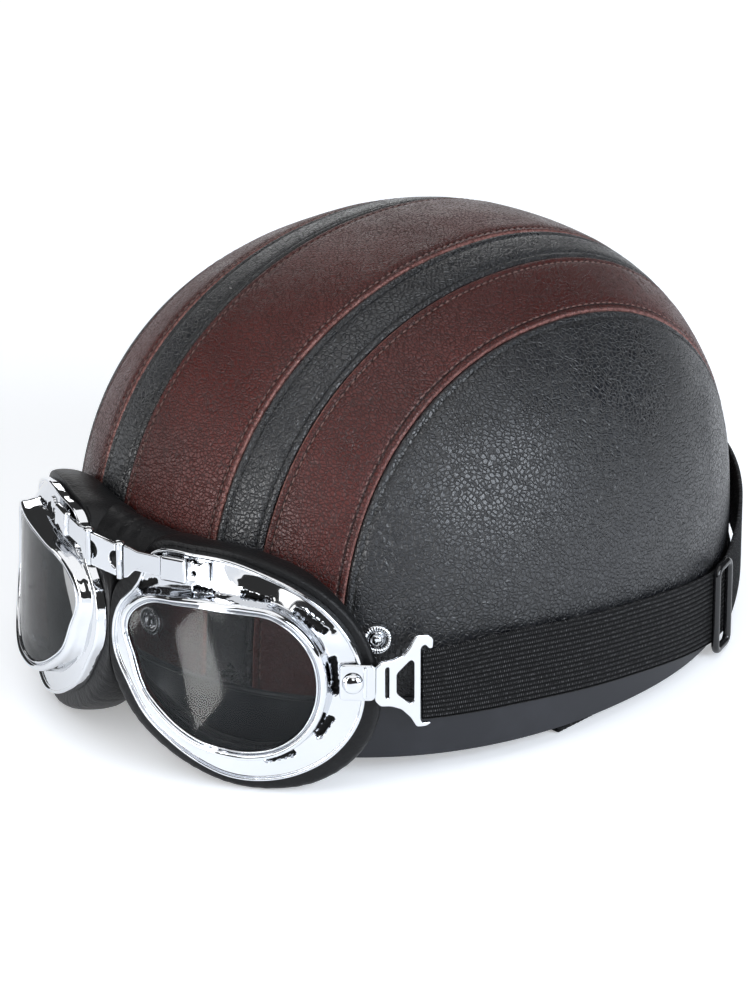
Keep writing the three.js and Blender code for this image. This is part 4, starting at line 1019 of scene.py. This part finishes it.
def frame_body():
    """Chrome frame as one closed profile round the eye: skirt, outer lip, hollowed flange with vent
    slots, raised bezel round the lens, and the inside. Returns points, faces and slot depth."""
    steps = 540
    angle = (np.arange(steps) / steps * TAU)[:, None]
    rf, rl = FRAME["flange"] * eye_share("flange", angle), FRAME["lens"] * eye_share("lens", angle)
    lip, lip_width = FRAME["lip"], FRAME["lip_width"]
    outer, inner = rf - lip_width - 0.4, rl + BEZEL["width"] + 0.2

    def place(radius, height):
        """Points at radii round the eye, their height worked out from u."""
        u, v = polar(angle, radius)
        return u, v, height(u)

    parts = [place(np.concatenate([rf, rf], 1), lambda u: flange_at(u) + np.array([[-FRAME["skirt"], 0.2]]))]
    turn = np.radians(np.linspace(0, 180, 9))[None]
    parts.append(place(rf - lip_width / 2 + np.cos(turn) * lip_width / 2,
                       lambda u: flange_at(u) + 0.3 + np.sin(turn) * lip))
    share = np.linspace(0, 1, 34)[None]
    flange_radius = outer + (inner - outer) * share
    dish = 2.7 * np.exp(-((np.degrees(angle) - 47) / 36) ** 2) + 0.5
    hollow = 0.10 * np.sin(share * math.pi) + dish * share ** 1.25
    u, v = polar(angle, flange_radius)
    depth, rim = slot_depth(u, v)
    height = flange_at(u) + hollow - 2.2 * depth + 0.10 * rim
    first = sum(p[0].shape[1] for p in parts)
    parts.append((u, v, height))
    low = flange_at(polar(angle, inner - 0.2)[0]) + dish - 0.1
    high = lens_at(polar(angle, rl + BEZEL["width"] - 0.8)[0]) - 1.0
    rise = np.linspace(0.1, 0.9, 7)[None]
    u, v = polar(angle, inner - 0.2 - 0.7 * smooth(rise))
    parts.append((u, v, low + (high - low) * rise))
    turn = np.radians(np.linspace(10, 170, 12))[None]
    parts.append(place(rl + 2.55 + np.cos(turn) * 1.35, lambda u: lens_at(u) - 1.0 + 2.1 * np.sin(turn)))
    parts.append(place(np.concatenate([rl + 1.15, rl + 0.95, rl + 0.8], 1),
                       lambda u: lens_at(u) + np.array([[-0.75, -0.85, -0.7]])))
    turn = np.radians(np.linspace(20, 175, 8))[None]
    parts.append(place(rl + 0.4 + np.cos(turn) * 0.42, lambda u: lens_at(u) - 0.35 + 0.75 * np.sin(turn)))
    parts.append(place(np.concatenate([rl, rl], 1),
                       lambda u: lens_at(u) + np.array([[-1.2, -BEZEL["depth"]]])))
    behind = rl + BEZEL["wall"]
    parts.append(place(np.concatenate([behind, behind + 0.5, rf - 1.2, rf - 1.0], 1),
                       lambda u: flange_at(u) + np.array([[-3.2, -3.2, -3.2, -FRAME["skirt"]]])))
    u, v, w = (np.concatenate(axis, 1) for axis in zip(*(np.broadcast_arrays(*part) for part in parts)))
    grid = from_eye(u, v, w)
    in_slot = np.zeros(u.shape)
    in_slot[:, first:first + depth.shape[1]] = depth
    points, faces = swept(grid, True)
    return points, faces, in_slot.ravel()


def lens_body():
    """A curved clear sheet inside the bezel: rings on both faces, from the edge almost to the middle."""
    steps = 240
    angle = np.arange(steps) / steps * TAU
    rl = FRAME["lens"] * eye_share("lens", angle) - 0.35
    share = np.concatenate([np.linspace(1, 0.02, 16), np.linspace(0.02, 1, 16)])[:, None]
    low = np.concatenate([np.full(16, 0.35), np.full(16, 1.9)])[:, None]
    u, v = polar(angle[None], rl[None] * share)
    grid = from_eye(u, v, lens_at(u) - low)
    faces = grid_faces(32, steps, False, True)
    index = np.arange(32 * steps).reshape(32, steps)
    faces += np.stack([index[-1], np.roll(index[-1], -1), np.roll(index[0], -1), index[0]], -1).tolist()
    return grid.reshape(-1, 3), faces


def pad_ring():
    """Soft ring behind one eye: a closed curve through eight places per station, from the frame's
    underside out over a puffed edge and back to the helmet, with creases that run across it. It
    flattens where it meets the other ring in the middle of the nose."""
    steps, around = 380, 56
    angle = (np.arange(steps) / steps * TAU)[:, None]
    rf = FRAME["flange"] * eye_share("flange", angle)
    rl = FRAME["lens"] * eye_share("lens", angle) + PAD["inset"]
    proud = PAD["proud"] * eye_share("proud", angle)
    share = eye_share("depth", angle)
    radius = np.concatenate([rl, rf + 0.2, rf + proud * 0.78, rf + proud, rf + proud * 0.9, rf + proud * 0.4,
                             np.minimum(rl + PAD["back_inset"], rf - 1), rl], 1)
    back = np.array([[0, 0, 0.05, 0.32, 0.7, 1, 1, 0.55]])
    brow = np.exp(-((np.degrees(angle) - 112) / 42) ** 2)
    radius -= brow * np.array([[0, 0, 0.6, 1.4, 3.8, 5.5, 0, 0]])
    u, v = polar(angle, radius)
    top = flange_at(u) - FRAME["skirt"] - PAD["gap"]
    deep = 45.0
    wall = crossing(lambda t: from_eye(u, v, top - deep + t), np.zeros(u.shape), np.full(u.shape, deep), 0.4)
    reach = np.linalg.norm(wall - from_eye(u, v, top), axis=-1) * share
    w = top - reach * back
    knots = np.stack([u, v, w], -1)
    t = np.linspace(0, 8, around, endpoint=False)
    i = np.floor(t).astype(int)
    f = (t - i)[None, :, None]
    a, b, c, d = (knots[:, (i + k) % 8] for k in (-1, 0, 1, 2))
    curve = (a * (-f + 2 * f ** 2 - f ** 3) + b * (2 - 5 * f ** 2 + 3 * f ** 3)
             + c * (f + 4 * f ** 2 - 3 * f ** 3) + d * (f ** 3 - f ** 2)) / 2
    outward = smooth((np.hypot(curve[..., 0] - EYE["centre_u"], curve[..., 1] - EYE["centre_v"]) - rf) / 3)
    crease = 0.08 * np.sin(angle * 61 + 1.3 * np.sin(angle * 7)) * np.sin(angle * 11 + 0.7) ** 2
    curve[..., 2] += outward * crease
    scale = 1 + outward * crease / 60
    curve[..., 0] = EYE["centre_u"] + (curve[..., 0] - EYE["centre_u"]) * scale
    curve[..., 1] = EYE["centre_v"] + (curve[..., 1] - EYE["centre_v"]) * scale
    ring = from_eye(curve[..., 0], curve[..., 1], curve[..., 2])
    soft = 1.6
    near = ring[..., 0] - NOSE_GAP
    blended = np.where(near < 8 * soft, soft * np.logaddexp(0, near / soft), near)
    ring[..., 0] = NOSE_GAP + blended
    return ring


def saddle_body():
    """Padded bridge over the nose: ellipses across the nose that shrink and rise toward both eyes."""
    x = np.linspace(-31, 31, 61)[:, None]
    t = (x / 30) ** 2
    turn = (np.arange(48) / 48 * TAU)[None]
    soft = np.sqrt(np.maximum(0, 1 - (np.abs(x) / 31.2) ** 8))
    y = -139.5 + 4 * t + np.cos(turn) * (12.2 - 3 * t) * soft
    z = 73.5 + 4.6 * t + np.sin(turn) * (10.8 - 4.6 * t) * soft
    wrinkle = 0.25 * np.sin(x * 0.9 + 2 * np.sin(turn)) * np.exp(-(x / 9) ** 2)
    grid = np.stack([np.broadcast_to(x, y.shape), y, z + wrinkle], -1)
    return swept(grid)


def on_flange(u, v, level):
    """The point over the flange at a height above it."""
    return from_eye(u, v, flange_at(u) + level)


def flange_plate(outline, low, high, bevel, corner=0.6, holes=()):
    """A plate that lies over the flange between two heights above it."""
    return plate(outline, list(holes), low, high, bevel, on_flange, corner)


def arm_outline():
    """Bridge arm: a flared root beside the hinge pin that narrows to a bar."""
    root = BRIDGE["pin_u"] + BRIDGE["pin"] + 0.4
    neck, end, top = root + 5, -31.4, 39.4
    low, high = BRIDGE["pin_v"] - 6.5, BRIDGE["pin_v"] + 6.5
    return [(root, low), (root + 1.8, low + 0.6), (neck, top - 7.8), (end, top - 7.8), (end, top),
            (neck + 1, top), (root + 2, high), (root, high)]


def box_outline(u0, u1, v0, v1):
    """The four corners of a rectangle."""
    return [(u0, v0), (u1, v0), (u1, v1), (u0, v1)]


class HELMET_OT_frames(bpy.types.Operator):
    """Makes the chrome eye frames with their vent slots, and the lenses"""
    bl_idname = "helmet.frames"
    bl_label = "Eye frames and lenses"

    def execute(self, context):
        points, faces, depth = frame_body()
        lens_points, lens_faces = lens_body()
        for word, sign in (("left", 1), ("right", -1)):
            obj = mesh_object(f"frame_{word}", to_part(mirrored(points, sign)), faces, sharp=math.radians(60))
            finish_piece(obj, MATERIALS["chrome"], material_slot(f"frame_{word}"), f"frame_{word}")
            # Painted shade: the deepest faces of the slot hollows take the near-black slot material
            obj.data.materials.append(MATERIALS["slot"])
            corners = np.empty(len(obj.data.loops), np.int32)
            obj.data.loops.foreach_get("vertex_index", corners)
            deep = depth[corners].reshape(-1, 4).mean(1) > 0.62
            obj.data.polygons.foreach_set("material_index", deep.astype(np.int32))
            obj = mesh_object(f"lens_{word}", to_part(mirrored(lens_points, sign)), lens_faces)
            finish_piece(obj, MATERIALS["lens"], material_slot(f"lens_{word}"), f"lens_{word}")
            bpy.data.collections["lens_lit"].objects.link(obj)
        return {"FINISHED"}


class HELMET_OT_mask(bpy.types.Operator):
    """Makes the padded mask behind the eye frames"""
    bl_idname = "helmet.mask"
    bl_label = "Padded mask"

    def execute(self, context):
        ring = pad_ring()
        points, faces = join(swept(ring, True), swept(mirrored(ring, -1)[::-1], True), saddle_body())
        placed = to_part(points)
        placed[:, 2] = np.maximum(placed[:, 2], 0.0004)
        obj = mesh_object("mask", placed, faces, sharp=math.radians(80))
        finish_piece(obj, MATERIALS["pad"], material_slot("mask"), "mask")
        return {"FINISHED"}


class HELMET_OT_bridge(bpy.types.Operator):
    """Makes the bridge: link, hinge pins, arms, sleeves and end tabs"""
    bl_idname = "helmet.bridge"
    bl_label = "Bridge"

    def execute(self, context):
        chrome = MATERIALS["chrome"]
        pin_u, pin_v = BRIDGE["pin_u"], BRIDGE["pin_v"]
        pin = from_eye(pin_u, pin_v, flange_at(pin_u) + BRIDGE["lift"])
        half, tall = pin[0] - BRIDGE["pin"] - 0.4, BRIDGE["link"] / 2
        turn = np.radians(np.linspace(-90, 90, 13))
        notch = np.stack([half - np.cos(turn) * BRIDGE["notch"], np.sin(turn) * BRIDGE["notch"]], -1)
        outline = [(-half, -tall), (half, -tall), *notch, (half, tall), (-half, tall), *-notch]
        thick = BRIDGE["link_thickness"]
        body = plate(outline, [], 0, thick, 0.35,
                     lambda x, y, level: np.stack([x, pin[1] + level - thick / 2, pin[2] + y], -1), 0.5)
        link = mesh_object("bridge_link", to_part(body[0]), body[1])
        finish_piece(link, chrome, material_slot("bridge_link"), "bridge_link")
        r, head, reach, cap = BRIDGE["pin"], BRIDGE["head"], BRIDGE["length"] / 2, BRIDGE["cap"]
        profile = [(0, -reach), (r, -reach), (r, reach - 0.1), (head - 0.2, reach), (head, reach + 0.2),
                   (head, reach + 0.5), (head * 0.85, reach + 0.85), (head * 0.5, reach + cap - 0.1),
                   (0, reach + cap)]
        pin_points, pin_faces = turned(profile, 32)
        pin_points[:, :2] *= (1 - 0.10 * (np.abs(np.mod(pin_points[:, 2:3] + reach, 2.8) - 1.4) < 0.12))
        sleeve = box_outline(-31, -20.6, 30.6, 40.4)
        for word, sign in (("left", 1), ("right", -1)):
            for name, body in (
                (f"bridge_arm_{word}", flange_plate(arm_outline(), BRIDGE["low"], BRIDGE["high"], 0.35)),
                (f"arm_sleeve_{word}", flange_plate(sleeve, 1.3, 4.2, 0.9, 0.8)),
                (f"arm_tab_{word}", self.tab_body()),
            ):
                obj = mesh_object(name, to_part(mirrored(body[0], sign)), body[1])
                finish_piece(obj, chrome, material_slot(name), name)
            name = f"hinge_pin_{word}"
            obj = mesh_object(name, to_part(mirrored(pin_points + pin, sign)), pin_faces)
            finish_piece(obj, chrome, material_slot(name), name)
        return {"FINISHED"}

    def tab_body(self):
        """End tab with a small notch and a dimple."""
        outline = [(-20.2, 32), (-11.4, 32), (-11.4, 39.6), (-14.5, 39.6), (-15.2, 38.6), (-17.4, 38.6),
                   (-18, 39.6), (-20.2, 39.6)]
        hole = [(-17.5 + 1.0 * math.cos(a), 35.2 + 1.0 * math.sin(a)) for a in np.arange(10) / 10 * TAU]
        return flange_plate(outline, 1.2, 2.8, 0.35, 0.5, [hole])


class HELMET_OT_fittings(bpy.types.Operator):
    """Makes the strap clips, rivets and hooks"""
    bl_idname = "helmet.fittings"
    bl_label = "Strap fittings"

    def execute(self, context):
        chrome = MATERIALS["chrome"]
        clip = flange_plate(box_outline(38.4, 51.4, -10.2, 4.2), 1.2, 2.5, 0.45, 2.2)
        bar = flange_plate(box_outline(47.2, 48.6, -9.2, 3.2), 2.3, 3.5, 0.55, 0.6)
        clip = join(clip, bar)
        u, v = 43.4, -3.1
        dome = [(4 * math.cos(a), 0.3 + 2.3 * math.sin(a)) for a in np.radians(np.linspace(0, 84, 12))]
        rivet_points, rivet_faces = turned([(0, 0), (4, 0), *dome, (0, 2.6)], 64)
        lean = math.atan(EYE["flange_curve"] * (u - EYE["crown_u"]))
        out = AXIS_W * math.cos(lean) + AXIS_U * math.sin(lean)
        seat = from_eye(u, v, flange_at(u) + 2.5 + 0.25)
        rivet_points = stand(rivet_points, seat, out)
        heading = HOOK["heading"]
        along = np.array([math.cos(heading), math.sin(heading), 0])
        away = np.array([math.sin(heading), -math.cos(heading), 0])

        def at(s, z, level):
            """The point at a distance along the hook's plane, a height and a distance off the plane."""
            base = np.stack([np.full(s.shape, HOOK["x"]), np.full(s.shape, HOOK["y"]), z], -1)
            return base + s[:, None] * along + level[:, None] * away

        half = HOOK["thickness"] / 2
        hook = plate(HOOK_OUTLINE, [HOOK_WINDOW, HOOK_EYE], -half, half, 0.4, at, 1.1)
        bodies = (("strap_clip", clip), ("rivet", (rivet_points, rivet_faces)), ("strap_hook", hook))
        for word, sign in (("left", 1), ("right", -1)):
            for piece, (points, faces) in bodies:
                name = f"{piece}_{word}"
                obj = mesh_object(name, to_part(mirrored(points, sign)), faces)
                finish_piece(obj, chrome, material_slot(name), name)
        return {"FINISHED"}


# Straps
def strap_middle(share):
    """Middle line of the elastic strap."""
    start = math.radians(STRAP["start"])
    angle = start + (math.pi - 2 * start) * share
    return wall_points(angle, read_table(STRAP_ROWS, 1, share), read_table(STRAP_ROWS, 2, share))


def strap_side(share):
    """Directions along the strap and away from the helmet, level with the floor."""
    h = 0.002
    along = strap_middle(np.minimum(share + h, 1)) - strap_middle(np.maximum(share - h, 0))
    along = unit(along * (1, 1, 0))
    return along, np.stack([along[..., 1], -along[..., 0], np.zeros(share.shape)], -1)


def band_uv(grid, section):
    """UV of a band in metres: distance along it, and distance up its own face."""
    step = np.linalg.norm(np.diff(grid, axis=0), axis=-1).mean(1)
    along = np.concatenate([[0], np.cumsum(step)])
    uv = np.stack(np.meshgrid(along, section[:, 1], indexing="ij"), -1).reshape(-1, 2)
    return np.vstack([uv, [(along[0], 0), (along[-1], 0)]]) * MM


def band_section(width, thickness, ribs, height, steps_per_rib=6):
    """Closed section of a ribbed band, as distance outward and distance up: both faces carry a
    rounded rib for each row, and the edges are half circles."""
    count = ribs * steps_per_rib
    up = np.linspace(-0.5, 0.5, count + 1) * (width - thickness)
    wave = np.abs(np.sin(np.linspace(0, ribs * math.pi, count + 1))) * height - height
    edge = np.radians(np.linspace(80, -80, 7))
    half = thickness / 2
    top = np.stack([np.sin(edge) * half, width / 2 - half + np.cos(edge) * half], -1)
    face = np.stack([half + wave, up], -1)
    return np.concatenate([face, top, np.stack([-half - wave, up], -1)[::-1], -top])


class HELMET_OT_strap(bpy.types.Operator):
    """Makes the ribbed elastic strap and its slider"""
    bl_idname = "helmet.strap"
    bl_label = "Goggle strap"

    def execute(self, context):
        settings = context.scene.helmet_straps
        share = np.linspace(0, 1, 300)
        middle = strap_middle(share)
        _, out = strap_side(share)
        section = band_section(STRAP["width"], STRAP["thickness"], settings.ribs, settings.rib_height / MM)
        to_end = np.minimum(np.minimum(share, 1 - share), STRAP["end_share"]) / STRAP["end_share"]
        narrow = (STRAP["end_width"] + (STRAP["width"] - STRAP["end_width"]) * to_end) / STRAP["width"]
        grid = middle[:, None] + out[:, None] * section[None, :, :1]
        grid[..., 2] += section[None, :, 1] * narrow[:, None]
        points, faces = swept(grid)
        obj = mesh_object("strap", to_part(points), faces, uv=band_uv(grid, section), sharp=math.radians(70))
        finish_piece(obj, MATERIALS["elastic"], material_slot("strap"), "strap")

        place = np.array(SLIDER["share"])
        along, out = (a for a in strap_side(place))
        base = strap_middle(place) + out * (STRAP["thickness"] / 2 + 0.4 + SLIDER["thickness"] / 2)
        half_wide = SLIDER["width"] / 2 - SLIDER["bar"] / 2
        half_tall = STRAP["width"] / 2 + SLIDER["gap"] + SLIDER["bar"] / 2
        corner = 3.0
        quarter = np.radians(np.linspace(0, 90, 9))
        wide, tall = half_wide - corner, half_tall - corner
        centres = np.repeat([(wide, tall), (-wide, tall), (-wide, -tall), (wide, -tall)], len(quarter), 0)
        turn = np.concatenate([quarter + math.radians(first) for first in (0, 90, 180, 270)])
        path = centres + corner * np.stack([np.cos(turn), np.sin(turn)], -1)
        tangent = unit(np.roll(path, -1, 0) - np.roll(path, 1, 0))
        outward = np.stack([tangent[:, 1], -tangent[:, 0]], -1)
        turn = np.arange(20) / 20 * TAU
        flat = path[:, None] + outward[:, None] * (np.cos(turn) * SLIDER["bar"] / 2)[None, :, None]
        rise = np.broadcast_to(np.sin(turn) * SLIDER["thickness"] / 2, flat.shape[:2])
        grid = base + flat[..., :1] * along + flat[..., 1:] * np.array([0, 0, 1.0]) + rise[..., None] * out
        points, faces = swept(grid, True)
        obj = mesh_object("slider", to_part(points), faces)
        finish_piece(obj, MATERIALS["gloss"], material_slot("slider"), "slider")
        return {"FINISHED"}


class HELMET_OT_chin_strap(bpy.types.Operator):
    """Makes the chin strap with its rivets and buckle"""
    bl_idname = "helmet.chin_strap"
    bl_label = "Chin strap"

    def execute(self, context):
        low = CHIN["lift"] + CHIN["thickness"] / 2
        high = low + CHIN["rise"]
        bend = CHIN["rise"] / 2
        fold = CHIN["fold"] - bend - CHIN["thickness"] / 2
        leg = CROWN["half_width"] - SHELL_SINK - SHELL_WALL - CHIN["wall_gap"] - CHIN["thickness"] / 2
        start = BUCKLE["length"] / 2 - 4

        def arc(x, z, radius, first, last, count):
            """Points along part of a circle."""
            a = np.linspace(first, last, count)
            return np.stack([x + np.cos(a) * radius, z + np.sin(a) * radius], -1)

        quarter = math.pi / 2
        path = np.concatenate([
            np.stack([np.linspace(start, fold - 2, 40), np.full(40, low)], -1),
            arc(fold, low + bend, bend, -quarter, quarter, 14),
            np.stack([np.linspace(fold - 2, leg + CHIN["turn"] + 1, 10), np.full(10, high)], -1),
            arc(leg + CHIN["turn"], high + CHIN["turn"], CHIN["turn"], -quarter, -2 * quarter, 14),
            np.stack([np.full(24, leg), np.linspace(high + CHIN["turn"] + 1.5, CHIN["anchor"], 24)], -1)])
        tangent = unit(np.gradient(path, axis=0))
        normal = np.stack([-tangent[:, 1], tangent[:, 0]], -1)
        section = band_section(CHIN["width"], CHIN["thickness"], CHIN_RIBS, 0.16, 4)
        flat = path[:, None] + normal[:, None] * section[None, :, :1]
        aside = CHIN["centre_y"] + np.broadcast_to(section[:, 1], flat.shape[:2])
        grid = np.stack([flat[..., 0], aside, flat[..., 1]], -1)
        points, faces = swept(grid)
        dome = [(0, 0), (6, 0), (6, 0.4), (5.7, 0.9), (4.8, 1.4), (3, 1.7), (0, 1.8)]
        cap_points, cap_faces = turned(dome, 48)
        face = leg - CHIN["thickness"] / 2 - 0.3
        cap_points = stand(cap_points, np.array([face, CHIN["centre_y"], CHIN["anchor"] - 8]), (-1, 0, 0))
        for word, sign in (("left", 1), ("right", -1)):
            name = f"chin_strap_{word}"
            obj = mesh_object(name, on_floor(mirrored(points, sign)), faces, uv=band_uv(grid, section),
                              sharp=math.radians(70))
            finish_piece(obj, MATERIALS["chin"], material_slot(name), name)
            name = f"chin_rivet_{word}"
            obj = mesh_object(name, on_floor(mirrored(cap_points, sign)), cap_faces)
            finish_piece(obj, MATERIALS["chrome"], material_slot(name), name)
        points, faces = self.buckle_body()
        obj = mesh_object("chin_buckle", on_floor(points), faces)
        finish_piece(obj, MATERIALS["satin"], material_slot("chin_buckle"), "chin_buckle")
        return {"FINISHED"}

    def buckle_body(self):
        """Side-release clasp: a rounded body with a waist where the prongs are pressed."""
        half_length, half_width = BUCKLE["length"] / 2, BUCKLE["width"] / 2
        waist = half_width - BUCKLE["waist"]
        edge = [(-half_length, half_width), (-9, half_width), (-7, waist), (8, waist), (10, half_width),
                (half_length, half_width)]
        outline = [(x, -y) for x, y in edge] + edge[::-1]
        return plate(outline, [], CHIN["lift"], CHIN["lift"] + BUCKLE["height"], BUCKLE["bevel"],
                     lambda x, y, level: np.stack([x, CHIN["centre_y"] + y, level], -1), BUCKLE["corner"])


# Stage: the card that lights the left lens, by its ends and the point it faces in mm and its width in m
LENS_CARD = {"top": (30, -218, 38), "bottom": (51, -215, 1), "facing": (44, -152, 44), "width": 0.027}


class HELMET_OT_stage(bpy.types.Operator):
    """Sets the camera, the pale floor and the soft lights"""
    bl_idname = "helmet.stage"
    bl_label = "Stage"

    def execute(self, context):
        self.add_camera(context.scene)
        self.add_floor()
        self.add_lights(context.scene)
        return {"FINISHED"}

    def add_camera(self, scene):
        """Looks at the crown from the photograph's azimuth and elevation, aimed so that the target
        falls on its own pixel."""
        azimuth, elevation = math.radians(CAMERA["azimuth"]), math.radians(CAMERA["elevation"])
        level = math.cos(elevation)
        back = np.array([math.sin(azimuth) * level, -math.cos(azimuth) * level, math.sin(elevation)])
        right = unit(np.cross((0, 0, 1), back))
        up = np.cross(back, right)
        place = np.array([0, 0, CAMERA["target_height"]]) + back * CAMERA["distance"]
        offset_x = CAMERA["frame_px"][0] / 2 - CAMERA["target_px"][0]
        offset_y = CAMERA["target_px"][1] - CAMERA["frame_px"][1] / 2
        aim = unit(-back * CAMERA["focal_px"] + right * offset_x + up * offset_y)
        right = unit(np.cross(aim, up))
        up = np.cross(right, aim)
        basis = np.stack([right, up, -aim], 1)
        turned_basis = TILT @ basis
        camera = bpy.data.cameras.new("camera")
        camera.sensor_width = 36.0
        camera.lens = 36.0 * CAMERA["focal_px"] / CAMERA["frame_px"][1]
        camera.clip_start, camera.clip_end = 0.05, 40.0
        obj = bpy.data.objects.new("camera", camera)
        matrix = Matrix(turned_basis.tolist()).to_4x4()
        matrix.translation = Vector(to_part(place))
        obj.matrix_world = matrix
        scene.collection.objects.link(obj)
        scene.camera = obj

    def add_floor(self):
        """A pale square that glows, a little brighter away from the middle so that it meets the white
        background.
        """
        s = Shader("floor")
        paint = s.noise(s.coords(), 3.0, 2.0)
        tone = s.mix(paint, rgba((0.88, 0.91, 0.955)), rgba((0.90, 0.93, 0.975)))
        s.set(Base_Color=tone, Roughness=0.6, Specular_IOR_Level=0.2)
        away = s.node("ShaderNodeVectorMath", {"operation": "LENGTH"}, i0=s.coords()).outputs["Value"]
        # Painted light: the floor glows, from 0.33 near the middle to 0.85 far out
        s.set(Emission_Color=rgba((1.0, 1.0, 1.0)), Emission_Strength=s.ranged(away, 0.5, 3.0, 0.33, 0.85))
        size = 14.0
        corner = np.linspace(-size, size, 5)
        grid = np.stack([*np.meshgrid(corner, corner, indexing="ij"), np.zeros((5, 5))], -1)
        mesh = bpy.data.meshes.new("floor")
        mesh.from_pydata(grid.reshape(-1, 3).tolist(), [], grid_faces(5, 5, False, False))
        mesh.flip_normals()
        mesh.materials.append(s.material)
        floor = bpy.data.objects.new("floor", mesh)
        bpy.context.scene.collection.objects.link(floor)

    def add_lights(self, scene):
        """Softboxes aimed at the crown, a broad sun for the ceiling and an even white world."""
        settings = scene.helmet_stage
        lights = (
            ("front_left", (1.05, -0.95, 0.95), (0.5, 0.6), settings.side * 0.8),
            ("front_right", (-1.1, -0.95, 0.6), (0.45, 0.9), settings.side * 0.8),
            ("left", (1.45, 0.12, 0.70), (1.05, 0.85), settings.side * 3.4),
            ("front", (-0.22, -1.56, 0.56), (1.7, 0.42), settings.side * 2.3),
            ("rear_right", (-1.45, 1.35, 0.58), (1.2, 0.45), settings.side * 1.1),
            ("window", (0.052, -0.31, 0.14), (0.045, 0.26), settings.side * 2.4),
        )
        target = Vector((0, 0, 0.08))
        for name, place, (wide, tall), radiance in lights:
            light = bpy.data.lights.new(name, "AREA")
            light.shape = "RECTANGLE"
            light.size, light.size_y = wide, tall
            light.energy = radiance * math.pi * wide * tall
            light.color = (0.87, 0.93, 1.0) if name == "left" else (1.0, 1.0, 1.0)
            obj = bpy.data.objects.new(name, light)
            obj.location = place
            obj.rotation_mode = "QUATERNION"
            obj.rotation_quaternion = (target - Vector(place)).to_track_quat("-Z", "Y")
            if name == "front":
                obj.light_linking.receiver_collection = bpy.data.collections.new("leather_lit")
            scene.collection.objects.link(obj)
        self.add_lens_card(scene)
        diffuser = bpy.data.lights.new("overhead", "SUN")
        diffuser.energy = settings.overhead
        diffuser.angle = math.radians(75)
        obj = bpy.data.objects.new("overhead", diffuser)
        obj.location = (0, 0, 2.0)
        scene.collection.objects.link(obj)
        world = bpy.data.worlds.new("studio")
        world.use_nodes = True
        background = world.node_tree.nodes["Background"]
        background.inputs["Color"].default_value = (1.0, 1.0, 1.0, 1.0)
        background.inputs["Strength"].default_value = settings.world
        scene.world = world
        scene.view_settings.view_transform = "Standard"
        scene.view_settings.look = "None"

    def add_lens_card(self, scene):
        """A small bright card low in front of each eye that lights the lenses alone, so that they
        show a soft streak."""
        ends = [np.array(LENS_CARD[key]) for key in ("top", "bottom", "facing")]
        lit = bpy.data.collections.new("lens_lit")
        for sign in (1, -1):
            high, low, seen = (to_part(mirrored(point, sign)) for point in ends)
            ahead = unit(seen - (high + low) / 2)
            length = np.linalg.norm(high - low)
            upward = unit((high - low) - ahead * ((high - low) @ ahead))
            light = bpy.data.lights.new(f"lens_card_{'left' if sign > 0 else 'right'}", "AREA")
            light.shape = "RECTANGLE"
            light.size, light.size_y = LENS_CARD["width"], length
            light.energy = scene.helmet_stage.card * math.pi * light.size * light.size_y
            obj = bpy.data.objects.new(light.name, light)
            basis = np.stack([np.cross(upward, -ahead), upward, -ahead], 1)
            matrix = Matrix(basis.tolist()).to_4x4()
            matrix.translation = Vector((high + low) / 2)
            obj.matrix_world = matrix
            obj.visible_camera = False
            obj.light_linking.receiver_collection = lit
            scene.collection.objects.link(obj)


class HELMET_PT_panel(bpy.types.Panel):
    """Lists the helmet's pieces and settings"""
    bl_label = "Half Helmet"
    bl_idname = "HELMET_PT_panel"
    bl_space_type = "VIEW_3D"
    bl_region_type = "UI"
    bl_category = "Helmet"

    def draw(self, context):
        for group in (getattr(context.scene, name) for name in SETTINGS):
            for key in group.bl_rna.properties.keys():
                if key not in ("rna_type", "name"):
                    self.layout.prop(group, key)
        for operator in OPERATORS:
            self.layout.operator(operator.bl_idname)


SETTINGS = {
    "helmet_leather": LeatherSettings,
    "helmet_goggles": GoggleSettings,
    "helmet_straps": StrapSettings,
    "helmet_stage": StageSettings,
}
OPERATORS = (
    HELMET_OT_stage, HELMET_OT_cover, HELMET_OT_stitching, HELMET_OT_shell, HELMET_OT_snaps,
    HELMET_OT_frames, HELMET_OT_mask, HELMET_OT_bridge, HELMET_OT_fittings, HELMET_OT_strap,
    HELMET_OT_chin_strap,
)
CLASSES = (*SETTINGS.values(), *OPERATORS, HELMET_PT_panel)


def register():
    for item in CLASSES:
        bpy.utils.register_class(item)
    for name, group in SETTINGS.items():
        setattr(bpy.types.Scene, name, PointerProperty(type=group))


def unregister():
    for name in SETTINGS:
        delattr(bpy.types.Scene, name)
    for item in reversed(CLASSES):
        bpy.utils.unregister_class(item)


def main():
    register()
    make_materials(bpy.context.scene)
    for operator in OPERATORS:
        group, name = operator.bl_idname.split(".")
        getattr(getattr(bpy.ops, group), name)()


if __name__ == "__main__":
    main()
